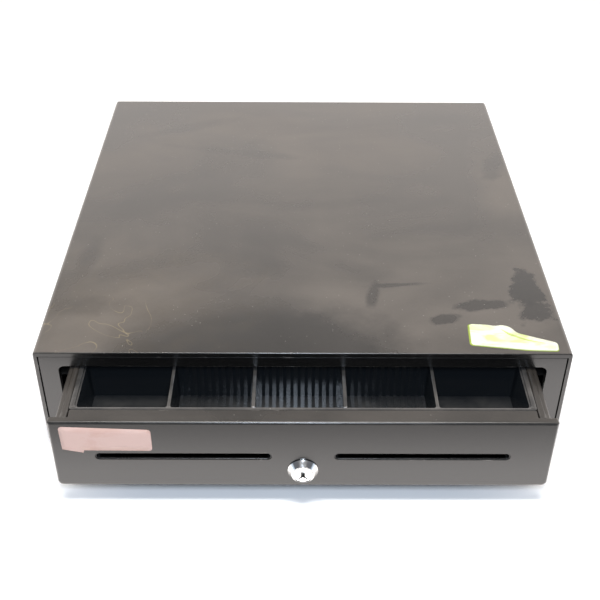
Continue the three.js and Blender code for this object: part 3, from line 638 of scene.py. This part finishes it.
def arc_points(centre, radius, start, end, steps=ARC):
    """Points on an arc, angles in degrees."""
    angles = [math.radians(start + (end - start) * i / steps) for i in range(steps + 1)]
    return [(centre[0] + radius * math.cos(a), centre[1] + radius * math.sin(a)) for a in angles]


def sweep(bm, path, low, high, place):
    """Open strip: a path of points carried from one level to another."""
    bridge(bm, [loop_at(bm, path, level, place) for level in (low, high)], closed=False)


# ---------------------------------------------------------------- casing

COVER_TOP = COVER_HIGH.z - 0.2  # leaves room for the sticker inside the CAD's height
COVER_BEND = 3.0
FRONT_BEND = 1.0
FRONT_LIP = 3.0
LIP_DROP = 1.2  # how much wider the strip is along the top
REAR_BEND = 3.0
REAR_LIP = 12.0
OPENING_HALF, OPENING_LOW, OPENING_HIGH, OPENING_CORNER = 187, 16.5, 85.5, 4.5
OPENING_LIP = 5.0  # how far back the opening's flange reaches
VENTS = 5
VENT_FIRST, VENT_PITCH, VENT_WIDTH, VENT_LOW, VENT_HIGH = 95, 14, 4, 34, 66
# Radius and height, from the hollow underneath up to the push-in stud's tip.
FOOT_PROFILE = (
    (0, 1.2), (8.2, 1.2), (8.8, 0), (11, 0), (12.4, 0.5), (13.4, 1.5), (13.8, 3), (13.5, 6), (13.2, 9.2),
    (12.6, 9.7), (4.8, 9.7), (4.8, 11.6), (6.4, 11.8), (5.6, 13.4), (3.4, 14.4), (0, 14.6),
)


def cover_outline(inset, drop=0.0):
    """From the bottom of the left wall over the top to the bottom of the right wall."""
    half = COVER_HIGH.x - inset
    top = COVER_TOP - inset - drop
    radius = max(COVER_BEND - inset, 0.02)
    left = arc_points((-half + radius, top - radius), radius, 180, 90)
    right = [(-x, z) for x, z in reversed(left)]
    return [(-half, COVER_LOW.z), *left, *right, (half, COVER_LOW.z)]


def build_cover():
    bm = bmesh.new()
    front, back = COVER_LOW.y, COVER_HIGH.y
    profile = [(FRONT_LIP, front, LIP_DROP)]
    for a, b in arc_points((0, 0), FRONT_BEND, 0, 90):
        profile.append((FRONT_BEND - b, front + FRONT_BEND - a, 0.0))
    for a, b in arc_points((0, 0), REAR_BEND, 90, 0):
        profile.append((REAR_BEND - b, back - REAR_BEND + a, 0.0))
    profile.append((REAR_LIP, back, 0.0))
    rings = [loop_at(bm, cover_outline(inset, drop), y, on_xz) for inset, y, drop in profile]
    bridge(bm, rings, closed=False)
    face_towards(bm, (0, 0, COVER_TOP), (0, 0, 1))
    piece = finish_piece("cover_shell", bm, COVER, "casing", ["cover"])
    solidify(piece, SHEET)
    round_edges(piece, 0.25, 60)


def build_front_frame():
    low, high = box_mm("front_frame")
    bm = bmesh.new()
    outer = rounded(low.x, high.x, low.z, high.z - LIP_DROP - 0.2, 0.6, 2)
    opening = rounded(-OPENING_HALF, OPENING_HALF, OPENING_LOW, OPENING_HIGH, OPENING_CORNER, 6)
    plate(bm, outer, [opening], low.y, low.y + SHEET, 0.55, on_xz, 3)
    near, far = low.y + SHEET - 0.2, low.y + OPENING_LIP
    plate(bm, lambda grow: opening(grow + SHEET), [opening], near, far, 0.3, on_xz)
    orient(bm)
    piece = finish_piece("frame_plate", bm, CASING, "casing", ["front_frame"])
    round_edges(piece, 0.1, 60, 1)


def build_rear_panel():
    low, high = box_mm("rear_panel")
    socket_low, socket_high = box_mm("data_socket")
    gap = 0.3
    bm = bmesh.new()
    outer = rounded(low.x, high.x, low.z, high.z, 1.0, 2)
    vents = []
    for i in range(VENTS):
        x = VENT_FIRST + VENT_PITCH * i
        vents.append(rounded(x, x + VENT_WIDTH, VENT_LOW, VENT_HIGH, VENT_WIDTH / 2 - 0.05, 4))
    mouth = rounded(
        socket_low.x - gap, socket_high.x + gap, socket_low.z - gap, socket_high.z + gap, 0.5, 2
    )
    back = high.y
    plate(bm, outer, [mouth, *vents], back - SHEET, back, 0.3, on_xz)
    foot = rounded(low.x + 1, high.x - 1, low.y, back - 0.5, 1, 2)
    plate(bm, foot, [], low.z, low.z + SHEET, 0.2, on_xy)
    orient(bm)
    piece = finish_piece("rear_plate", bm, CASING, "casing", ["rear_panel"])
    round_edges(piece, 0.1, 60, 1)


def build_feet():
    for place in ("front_left", "front_right", "rear_left", "rear_right"):
        low, high = box_mm(f"foot_{place}")
        centre = (low + high) / 2
        bm = bmesh.new()
        lathe(bm, FOOT_PROFILE, (0, 0), 40)
        upright = Matrix.Rotation(math.radians(90), 3, "X")
        bmesh.ops.rotate(bm, verts=bm.verts, cent=(0, 0, 0), matrix=upright)
        bmesh.ops.translate(bm, verts=bm.verts, vec=(centre.x, centre.y, 0))
        orient(bm)
        piece = finish_piece(f"bumper_{place}", bm, RUBBER, "casing", [f"foot_{place}"])
        round_edges(piece, 0.3, 50)


# ---------------------------------------------------------------- drawer face and box

FACE_LOW, FACE_HIGH = box_mm("drawer_front")
FACE_BEND = 2.1
FACE_EAR = 5.5  # depth of the flange along the face's sides
FACE_FOOT = 11.0  # depth of the flange along its bottom
SHELF_HALF = 170.2  # half width of the deeper flanges along its top and bottom
TOP_CORNER, FOOT_CORNER = 1.6, 4.5
SLOT_NEAR, SLOT_FAR, SLOT_Z, SLOT_TALL = 23, 153.5, 49.4, 6.9
LOCK_Z = 35.3
BARREL_HOLE = 9.7


def slot_outline(side, grow=0.0):
    near, far = sorted((side * SLOT_NEAR, side * SLOT_FAR))
    half = SLOT_TALL / 2
    return rounded(near - grow, far + grow, SLOT_Z - half - grow, SLOT_Z + half + grow, half + grow - 0.02, 6)


def face_outline(inset):
    half = FACE_HIGH.x - inset
    low, high = FACE_LOW.z + inset, FACE_HIGH.z - inset
    foot = FOOT_CORNER - inset
    top = max(TOP_CORNER - inset, 0.05)
    points = arc_points((half - foot, low + foot), foot, -90, 0)
    points += arc_points((half - top, high - top), top, 0, 90, 3)
    points += [(SHELF_HALF, high), (-SHELF_HALF, high)]
    points += arc_points((-half + top, high - top), top, 90, 180, 3)
    points += arc_points((-half + foot, low + foot), foot, 180, 270)
    return points + [(-SHELF_HALF, low), (SHELF_HALF, low)]


def build_drawer_front():
    bm = bmesh.new()
    face = FACE_LOW.y
    profile = [(FACE_BEND - b, face + FACE_BEND - a) for a, b in arc_points((0, 0), FACE_BEND, 0, 90)]
    profile.append((0.0, face + FACE_EAR))
    rings = [loop_at(bm, face_outline(inset), y, on_xz) for inset, y in profile]
    bridge(bm, rings)
    holes = [loop_at(bm, slot_outline(side)(), face, on_xz) for side in (-1, 1)]
    holes.append(loop_at(bm, circle(0, LOCK_Z, BARREL_HOLE)(), face, on_xz))
    fill(bm, [rings[0], *holes])
    last = rings[-1]
    for height, depth in ((FACE_HIGH.z, FACE_HIGH.y), (FACE_LOW.z, face + FACE_FOOT)):
        edge = sorted(
            (v for v in last if abs(abs(v.co.x) - SHELF_HALF) < 0.01 and abs(v.co.z - height) < 0.01),
            key=lambda v: v.co.x,
        )
        far = [bm.verts.new((v.co.x, depth, v.co.z)) for v in edge]
        bm.faces.new([edge[0], edge[1], far[1], far[0]])
    face_towards(bm, (100, face, 70), (0, -1, 0))
    piece = finish_piece("drawer_face", bm, DRAWER, "drawer", ["drawer_front"])
    solidify(piece, SHEET)
    round_edges(piece, 0.3, 60)


PAN_LOW, PAN_HIGH = box_mm("drawer_pan")
PAN_WALL = 172.0
PAN_FRONT = FACE_LOW.y + 13.0
PAN_BEND = 1.5
FLANGE_LIP = 5.5  # how far the flange's outer edge is turned down
PAN_INNER_BEND = 3.0
JOGGLE = 0.7  # how much lower the outer half of the flange is
WINDOW_INSET, WINDOW_LOW, WINDOW_HIGH = 6, 25, 41  # in the front wall, where a cheque falls through


def pan_path():
    """Upper side of the folded sheet: flange, wall, floor and back up, left to right."""
    top, floor, edge = PAN_HIGH.z, PAN_LOW.z + SHEET, PAN_HIGH.x
    wall = PAN_WALL - SHEET
    middle = (edge + wall) / 2 + 0.6  # where the flange steps down
    left = [(-edge, top - FLANGE_LIP)]
    left += arc_points((-edge + PAN_BEND, top - JOGGLE - PAN_BEND), PAN_BEND, 180, 90)
    left += [(-middle - JOGGLE / 2, top - JOGGLE), (-middle + JOGGLE / 2, top)]
    left += arc_points((-wall - PAN_INNER_BEND, top - PAN_INNER_BEND), PAN_INNER_BEND, 90, 0)
    left += arc_points((-wall + PAN_BEND, floor + PAN_BEND), PAN_BEND, 180, 270)
    return left + [(-x, z) for x, z in reversed(left)]


def build_drawer_pan():
    bm = bmesh.new()
    back = PAN_HIGH.y - SHEET
    path = pan_path()
    sweep(bm, path, PAN_FRONT, back, on_xz)
    flange = ARC * 2 + 5  # points from the outer edge to the foot of the inner bend
    for side in (path[:flange], path[-flange:]):
        sweep(bm, side, FACE_LOW.y + FACE_EAR + 0.05, PAN_FRONT, on_xz)
    bmesh.ops.remove_doubles(bm, verts=bm.verts, dist=1e-4)
    face_towards(bm, (0, 0, PAN_LOW.z), (0, 0, 1))
    piece = finish_piece("drawer_tub", bm, DRAWER, "drawer", ["drawer_pan"])
    solidify(piece, SHEET)
    round_edges(piece, 0.25, 60)
    bm = bmesh.new()
    end = rounded(-PAN_WALL + 0.2, PAN_WALL - 0.2, PAN_LOW.z, PAN_HIGH.z - SHEET - 0.4, 1.2, 2)
    plate(bm, end, [], back - 0.1, PAN_HIGH.y, 0.3, on_xz)
    near, far = SLOT_NEAR + WINDOW_INSET, SLOT_FAR - WINDOW_INSET
    windows = [rounded(x0, x1, WINDOW_LOW, WINDOW_HIGH, 2, 4) for x0, x1 in ((-far, -near), (near, far))]
    barrel = circle(0, LOCK_Z, BARREL_HOLE)
    plate(bm, end, [*windows, barrel], PAN_FRONT - SHEET / 2, PAN_FRONT + SHEET / 2, 0.25, on_xz)
    orient(bm)
    piece = finish_piece("drawer_ends", bm, DRAWER, "drawer", ())
    round_edges(piece, 0.1, 60, 1)


THROAT_HALF = 4.4  # half height of a throat's block
THROAT_LIP = 0.9  # how far its mouth stands inside the slot's edge


def build_chutes():
    """Black throats behind the two media slots, with the plate that turns a cheque downwards."""
    face = FACE_LOW.y
    foot, shelf = SLOT_Z - THROAT_HALF, SLOT_Z + THROAT_HALF
    for name, side in (("left", -1), ("right", 1)):
        low, high = box_mm(f"slot_chute_{name}")
        bm = bmesh.new()
        mouth = slot_outline(side, -THROAT_LIP)
        plate(bm, slot_outline(side, -0.05), [mouth], face + 0.3, face + 6, 0.42, on_xz, 3)
        block = rounded(low.x, high.x, foot, shelf, 1.2, 3)
        plate(bm, block, [mouth], face + SHEET + 0.3, face + 6.5, 0.3, on_xz)
        roof = rounded(low.x, high.x, face + 6, high.y, 0.6, 2)
        plate(bm, roof, [], shelf - SHEET, shelf, 0.2, on_xy)
        turn_down = rounded(low.x, high.x, low.z, shelf, 0.6, 2)
        plate(bm, turn_down, [], high.y - SHEET, high.y, 0.2, on_xz)
        orient(bm)
        replaced = [f"slot_chute_{name}"]
        piece = finish_piece(f"slot_throat_{name}", bm, TRIM, "drawer", replaced)
        round_edges(piece, 0.1, 60, 1)


# ---------------------------------------------------------------- lock

BEZEL_RADIUS = 11.3
BORE_RADIUS = 7.75
PLUG_RADIUS = 7.4
STEM_RADIUS = 2.5
PLUG_DEPTH = 22.0
KEYWAY_HALF, KEYWAY_LOW, KEYWAY_HIGH = 1.6, -2.2, 3.4  # from the lock's axis
PRONG_HALF, PRONG_LONG = 0.95, 4.1
PRONG_LEAN = 1.0  # radians either side of straight down


def boolean_cut(piece, cutters):
    """Applies boolean differences, so that no helper object is left."""
    for cutter in cutters:
        made = piece.modifiers.new("cut", "BOOLEAN")
        made.operation = "DIFFERENCE"
        made.solver = "EXACT"
        made.object = cutter
    bpy.context.view_layer.update()
    whole = piece.evaluated_get(bpy.context.evaluated_depsgraph_get())
    result = bpy.data.meshes.new_from_object(whole)
    piece.modifiers.clear()
    piece.data = result
    result.set_sharp_from_angle(angle=math.radians(35))
    for cutter in cutters:
        bpy.data.objects.remove(cutter)


def cutter_from(bm):
    """Helper object in the shape of a closed bmesh."""
    orient(bm)
    mesh = bpy.data.meshes.new("cutter")
    bm.to_mesh(mesh)
    bm.free()
    mesh.transform(Matrix.Scale(MM, 4))
    made = bpy.data.objects.new("cutter", mesh)
    bpy.context.scene.collection.objects.link(made)
    return made


def build_lock():
    low, high = box_mm("lock_housing")
    face, seat = low.y, FACE_LOW.y - 0.1
    bm = bmesh.new()
    profile = [(BORE_RADIUS, face + 6), (BORE_RADIUS, face + 0.4), (7.95, face + 0.08), (8.15, face)]
    profile += [(8.35, face + 0.12), (BEZEL_RADIUS - 0.08, seat - 0.82), (BEZEL_RADIUS, seat - 0.75)]
    profile += [(BEZEL_RADIUS, seat), (9.3, seat), (9.3, high.y - 0.4), (8.9, high.y)]
    profile += [(BORE_RADIUS, high.y), (BORE_RADIUS, face + 6)]
    lathe(bm, profile, (0, LOCK_Z), 64)
    orient(bm)
    piece = finish_piece("lock_bezel", bm, CHROME, "drawer", ["lock_housing"], smooth=30)
    round_edges(piece, 0.1, 60, 2)

    plug_low, plug_high = box_mm("lock_cylinder")
    front = plug_low.y
    bm = bmesh.new()
    profile = [(0, front), (6.8, front), (7.2, front + 0.15), (PLUG_RADIUS, front + 0.6)]
    profile += [(PLUG_RADIUS, front + PLUG_DEPTH), (STEM_RADIUS, front + PLUG_DEPTH + 0.1)]
    profile += [(STEM_RADIUS, plug_high.y), (0, plug_high.y)]
    lathe(bm, profile, (0, LOCK_Z), 64)
    orient(bm)
    plug = finish_piece("lock_plug", bm, CHROME, "lock_plug", ["lock_cylinder"], smooth=50)
    cutters = []
    bm = bmesh.new()
    keyway = rounded(-KEYWAY_HALF, KEYWAY_HALF, LOCK_Z + KEYWAY_LOW, LOCK_Z + KEYWAY_HIGH, 0.4, 3)
    plate(bm, keyway, [], front - 1, front + 9, 0.01, on_xz, 1)
    cutters.append(cutter_from(bm))
    for side in (-1, 1):
        bm = bmesh.new()
        prong = rounded(-PRONG_HALF, PRONG_HALF, -PRONG_LONG, 0.3, 0.35, 3)
        plate(bm, prong, [], front - 1, front + 6, 0.01, on_xz, 1)
        lean = Matrix.Rotation(side * PRONG_LEAN, 3, "Y")
        bmesh.ops.rotate(bm, verts=bm.verts, cent=(0, 0, 0), matrix=lean)
        bmesh.ops.translate(bm, verts=bm.verts, vec=(0, 0, LOCK_Z - 1.5))
        cutters.append(cutter_from(bm))
    boolean_cut(plug, cutters)
    round_edges(plug, 0.12, 50, 2)


# ---------------------------------------------------------------- till insert

TRAY_LOW, TRAY_HIGH = box_mm("till_insert")
TRAY_WALL = 4.0  # from the tray's outside to a bay
TRAY_CORNER = 2.5
RIM = 2.8
RIM_OVERHANG = 0.7  # how much wider than the tray the rim is at each side
BAY_WALL = 2.4
BAY_TOP = 81.5
BAY_FLOOR = 45.3
END_WALL = 99.0
COIN_LENGTH = 53.7
RIB_PITCHES = 35
RIB_PITCH = 2 * END_WALL / RIB_PITCHES
DIVIDER_PITCHES = (11, 23)  # which grooves hold the two dividers
NOTE_BAYS = 5
BAY_CORNER = 2.6
BAY_DRAFT = 0.6  # how far a bay's walls lean in by its floor
RIB_PROUD = 1.3  # how far a rib stands out of the floor and the walls
RIB_ROOT = 0.6  # how deep it's sunk in them
TRAY_FRONT = TRAY_LOW.y + TRAY_WALL
COIN_BACK = TRAY_FRONT + COIN_LENGTH


def pocket(bm, outline, fillet=0.6, steps=2):
    """Bay walls with a fillet round the floor. Returns the top loop."""
    rings = [loop_at(bm, outline(0.2), BAY_TOP, on_xy), loop_at(bm, outline(0.05), BAY_TOP - 0.05, on_xy)]
    rings.append(loop_at(bm, outline(0.0), BAY_TOP - 0.2, on_xy))
    for i in range(steps + 1):
        angle = math.radians(90 * i / steps)
        inset = BAY_DRAFT + fillet * (1 - math.cos(angle))
        rings.append(loop_at(bm, outline(-inset), BAY_FLOOR + fillet * (1 - math.sin(angle)), on_xy))
    bridge(bm, rings)
    fill(bm, [rings[-1]])
    return rings[0]


def bays():
    """Outlines of the three fixed coin bays, then of the note bays."""
    half = TRAY_HIGH.x - TRAY_WALL
    wall = BAY_WALL / 2
    outlines = []
    for x0, x1 in ((-half, -END_WALL - wall), (-END_WALL + wall, END_WALL - wall), (END_WALL + wall, half)):
        outlines.append(rounded(x0, x1, TRAY_FRONT, COIN_BACK, BAY_CORNER, 4))
    step = 2 * half / NOTE_BAYS
    front, back = COIN_BACK + BAY_WALL, TRAY_HIGH.y - TRAY_WALL
    for i in range(NOTE_BAYS):
        x0 = -half + step * i + (wall if i else 0)
        x1 = -half + step * (i + 1) - (wall if i < NOTE_BAYS - 1 else 0)
        outlines.append(rounded(x0, x1, front, back, BAY_CORNER, 4))
    return outlines


def rib(bm, x):
    """One moulded rib: up the front wall, along the floor and up the back wall."""
    half = (RIB_PITCH - BAY_WALL - 0.1) / 2  # the groove between two ribs takes a divider with 0.1 to spare
    y0, y1 = TRAY_FRONT, COIN_BACK
    floor, top = BAY_FLOOR, BAY_TOP - 1.2
    near, far = y0 + RIB_PROUD, y1 - RIB_PROUD
    points = [(far, top - RIB_PROUD), (far, floor + RIB_PROUD)]
    points += [(near, floor + RIB_PROUD), (near, top - RIB_PROUD)]
    points += [(y0 - RIB_ROOT, top), (y0 - RIB_ROOT, floor - 0.3), (y1 + RIB_ROOT, floor - 0.3)]
    points.append((y1 + RIB_ROOT, top))
    sides = [[bm.verts.new((x + s * half, y, z)) for y, z in points] for s in (-1, 1)]
    bridge(bm, sides)
    for side in sides:
        bm.faces.new(side)


def build_insert():
    bm = bmesh.new()
    top = TRAY_HIGH.z
    front, back = TRAY_LOW.y, TRAY_HIGH.y
    shell = rounded(TRAY_LOW.x, TRAY_HIGH.x, front, back, TRAY_CORNER)
    rim = rounded(TRAY_LOW.x + RIM, TRAY_HIGH.x - RIM, front + RIM, back - RIM, 3.2)
    lipped = rounded(TRAY_LOW.x - RIM_OVERHANG, TRAY_HIGH.x + RIM_OVERHANG, front, back, TRAY_CORNER)
    outside = [(shell, -0.8, TRAY_LOW.z), (shell, -0.4, TRAY_LOW.z + 0.4), (shell, -0.1, top - 2.0)]
    outside += [(lipped, 0.0, top - 1.4), (lipped, 0.0, top - 0.3)]
    outside += [(lipped, -0.08, top - 0.08), (lipped, -0.3, top)]
    walls = [loop_at(bm, outline(grow), level, on_xy) for outline, grow, level in outside]
    bridge(bm, walls)
    fill(bm, [walls[0]])
    step = [(0.3, top), (0.08, top - 0.08), (0.0, top - 0.3), (0.0, BAY_TOP)]
    lip = [loop_at(bm, rim(grow), level, on_xy) for grow, level in step]
    bridge(bm, lip)
    fill(bm, [walls[-1], lip[0]])
    fill(bm, [lip[-1], *(pocket(bm, outline) for outline in bays())])
    for i in range(RIB_PITCHES):
        rib(bm, -END_WALL + RIB_PITCH * (i + 0.5))
    orient(bm)
    finish_piece("till_tray", bm, INSERT, "drawer", ["till_insert"], smooth=40)


def build_dividers():
    """The two loose dividers of the middle coin bays, a little thicker than a groove is wide."""
    half = BAY_WALL / 2 + 0.2
    for name, pitches in zip(("left", "right"), DIVIDER_PITCHES):
        x = -END_WALL + RIB_PITCH * pitches
        bm = bmesh.new()
        outline = rounded(TRAY_FRONT + 0.4, COIN_BACK - 0.4, BAY_FLOOR + 0.3, BAY_TOP - 0.1, 1.6, 4)
        plate(bm, outline, [], x - half, x + half, 0.3, on_yz, 2)
        orient(bm)
        replaced = [f"coin_divider_{name}"]
        piece = finish_piece(f"divider_{name}", bm, INSERT, "drawer", replaced, smooth=50)
        round_edges(piece, 0.1, 60, 1)


# ---------------------------------------------------------------- stickers

STICKER = 0.12
STICKER_BENDS = 3  # cuts along an edge, which give the paper a mesh of its own

# The pink sticker on the face, X and Z. Its top edge falls towards the right, its lower left is torn.
PINK_LEFT, PINK_RIGHT, PINK_LOW, PINK_HIGH = -177.1, -110.6, 55.2, 79.0
PINK_FALL = 2.6
PINK_CORNER = 2.6
PINK_TORN = ((-160.6, 55.6), (-161.4, 53.2), (-176.6, 56.6))

# The torn sticker on the top and the tear across it, a darker strip of painted shade along the ridge there;
# both from the top's left front corner.
TORN = (
    (334.0, 10.6), (335.5, 36.5), (350.0, 35.6), (355.0, 34.0), (361.5, 35.4), (367.4, 32.6), (371.5, 25.2),
    (400.4, 13.4), (399.6, 3.6), (377.6, 4.4),
)
TEAR_PAINTED_SHADE = ((358.4, 31.2), (366.0, 24.6), (378.0, 17.2), (393.0, 12.2), (378.0, 15.4), (364.6, 22.6))
TORN_BEHIND = (389, 40)  # the base is the same outline grown from here, so it shows at the left and in front

# Name, outline, growth, height over the middle layer and look.
TORN_LAYERS = (
    ("top_sticker", TORN, 1.0, 0.0, TORN_PAPER),
    ("top_sticker_base", TORN, 1.025, -0.08, GREEN_PAPER),
    # This strip on top of the sticker paints the shade along its tear and ridge.
    ("top_sticker_tear_painted_shade", TEAR_PAINTED_SHADE, 1.0, 0.06, TEAR_PAINTED_SHADE_PAPER),
)


def sticker(name, outline, level, place, look, body, thickness):
    """Thin paper on a surface."""
    bm = bmesh.new()
    loop = loop_at(bm, outline, level, place)
    fill(bm, [loop])
    bmesh.ops.subdivide_edges(bm, edges=bm.edges, cuts=STICKER_BENDS, use_grid_fill=True)
    bmesh.ops.triangulate(bm, faces=bm.faces)
    solidify(finish_piece(name, bm, look, body), thickness)


def soften(points, radius, steps=4):
    """Rounds the corners of an outline with curves that start at most that far from each corner."""
    result = []
    for before, corner, after in zip(points[-1:] + points[:-1], points, points[1:] + points[:1]):
        corner = Vector(corner)
        ends = []
        for other in (Vector(before), Vector(after)):
            side = other - corner
            ends.append(corner + side.normalized() * min(radius, side.length * 0.45))
        for i in range(steps + 1):
            t = i / steps
            result.append(tuple((1 - t) ** 2 * ends[0] + 2 * t * (1 - t) * corner + t * t * ends[1]))
    return result


def build_stickers():
    right = PINK_RIGHT - PINK_CORNER
    pink = arc_points((PINK_LEFT + PINK_CORNER, PINK_HIGH - PINK_CORNER), PINK_CORNER, 180, 90, 4)
    pink += arc_points((right, PINK_HIGH - PINK_FALL - PINK_CORNER), PINK_CORNER, 90, 0, 4)
    pink += arc_points((right, PINK_LOW + PINK_CORNER), PINK_CORNER, 0, -90, 4)
    pink += PINK_TORN
    sticker("face_sticker", pink, FACE_LOW.y - STICKER, on_xz, PINK_PAPER, "drawer", STICKER)
    from_x, from_y = TORN_BEHIND
    for name, outline, growth, lift, look in TORN_LAYERS:
        points = []
        for a, b in soften(outline, 3.0):
            x, y = from_x + growth * (a - from_x), from_y + growth * (b - from_y)
            points.append((COVER_LOW.x + x, COVER_LOW.y + y))
        sticker(name, points, COVER_TOP + 0.09 + lift, on_xy, look, "casing", 0.04)


# ---------------------------------------------------------------- carried-over CAD nodes

NODE_LOOKS = {
    "base_pan": CASING,
    "control_board": BOARD,
    "data_socket": TRIM,
    "switch_body": TRIM,
    "solenoid_coil": TAPE,
}
for side in ("left", "right"):
    NODE_LOOKS[f"stop_buffer_{side}"] = RUBBER
    NODE_LOOKS[f"slide_bracket_{side}"] = NODE_LOOKS[f"slide_outer_{side}"] = HIDDEN
SLOT_LOOKS = {
    "casing_paint": CASING, "drawer_paint": DRAWER, "inner_steel": PLATED, "slide_steel": RAIL,
    "spring_steel": SPRING, "lock_chrome": CHROME, "insert_plastic": INSERT, "trim_plastic": TRIM,
    "foot_rubber": RUBBER, "coil_tape": TAPE, "board_green": BOARD,
}


def dress_nodes():
    """Gives every CAD node that still shows its material and softened edges."""
    parts = [part for part in frame["record"]["subparts"] if "node" in part]
    slots = {part["node"]: part.get("material_slot") for part in parts}
    for name, shown in frame["nodes"].items():
        if shown.hide_render:
            continue
        look = NODE_LOOKS.get(name) or SLOT_LOOKS.get(slots.get(name), PLATED)
        for slot in shown.material_slots:
            slot.material = look
        weld = shown.modifiers.new("weld", "WELD")
        weld.merge_threshold = 0.01 * MM
        round_edges(shown, 0.25, 50, 2)


FLOOR_RINGS = (400, 900, 2000, 6000, 30000)

# Strength of the glow painted into the floor for reflections: near the casing's front, past a painted table
# end, beside the casing (painted shade, a share of the first) and in the drawer's painted shadow (another
# share).
PAINTED_FLOOR_GLOW = 3.7
GLOW_PAST_PAINTED_TABLE_END = 0.6
PAINTED_SHADE_BESIDE = 0.35
PAINTED_DRAWER_SHADOW = 0.12
# Where these set in and where they're complete: Y, and for the shade also the distance from the middle.
PAINTED_TABLE_END = (FACE_LOW.y - 122.5, FACE_LOW.y - 37.5)
BESIDE = (COVER_LOW.y - 26.0, COVER_LOW.y + 24.0)
SHADE_FRONT = (FACE_LOW.y - 4.5, FACE_LOW.y + 3.5)
SHADE_HALF = (FACE_HIGH.x + 1.2, FACE_HIGH.x - 14.8)


def painted_glow_in_reflections(look):
    """Painted floor glow seen only in reflections: how far it's overexposed, a painted table end in front,
    painted shade.
    """
    tree = look.node_tree
    source = node(tree, "ShaderNodeTexCoord").outputs["Object"]
    place = node(tree, "ShaderNodeSeparateXYZ", {0: source})

    def across(value, limits, to_low=0.0, to_high=1.0):
        return spread(tree, value, limits[0] * MM, limits[1] * MM, to_low, to_high)

    y = place.outputs["Y"]
    from_middle = maths(tree, "ABSOLUTE", place.outputs["X"], 0.0)
    # Painted shade: the glow dims under the drawer's face and beside the casing.
    shaded = product(tree, across(from_middle, SHADE_HALF), across(y, SHADE_FRONT))
    strength = product(
        tree,
        across(y, PAINTED_TABLE_END, GLOW_PAST_PAINTED_TABLE_END, PAINTED_FLOOR_GLOW),
        across(y, BESIDE, 1.0, PAINTED_SHADE_BESIDE),
        spread(tree, shaded, 0, 1, 1.0, PAINTED_DRAWER_SHADOW),
    )
    # A glow painted into the floor: only glossy rays see it, and it is no lamp.
    glow = node(tree, "ShaderNodeEmission", {"Color": (1.0, 0.955, 0.935, 1), "Strength": strength})
    glossy = node(tree, "ShaderNodeLightPath").outputs["Is Glossy Ray"]
    plain = tree.nodes["Principled BSDF"].outputs["BSDF"]
    mixed = node(tree, "ShaderNodeMixShader", {0: glossy, 1: plain, 2: glow.outputs["Emission"]})
    tree.links.new(mixed.outputs["Shader"], tree.nodes["Material Output"].inputs["Surface"])
    look.cycles.emission_sampling = "NONE"


def build_floor():
    bm = bmesh.new()
    rings = [loop_at(bm, circle(0, 0, radius, 64)(), 0, on_xy) for radius in FLOOR_RINGS]
    bridge(bm, rings)
    bm.faces.new(rings[0])
    mesh = bpy.data.meshes.new("floor")
    bm.to_mesh(mesh)
    bm.free()
    mesh.transform(Matrix.Scale(MM, 4))
    look = material("floor", Roughness=0.7, Specular_IOR_Level=0.3)
    tree = look.node_tree
    tone = blend_colour(tree, noise(tree, 3, 3, 0.5), (0.90, 0.90, 0.90), (0.94, 0.935, 0.93))
    connect(look, Base_Color=tone)
    painted_glow_in_reflections(look)
    mesh.materials.append(look)
    floor = bpy.data.objects.new("floor", mesh)
    bpy.context.scene.collection.objects.link(floor)


add_camera()
add_world()
for light in LIGHTS:
    add_area(*light)
bpy.context.scene.view_settings.view_transform = "Standard"
build_floor()
build_cover()
build_front_frame()
build_rear_panel()
build_feet()
build_drawer_front()
build_drawer_pan()
build_chutes()
build_lock()
build_insert()
build_dividers()
build_stickers()
dress_nodes()
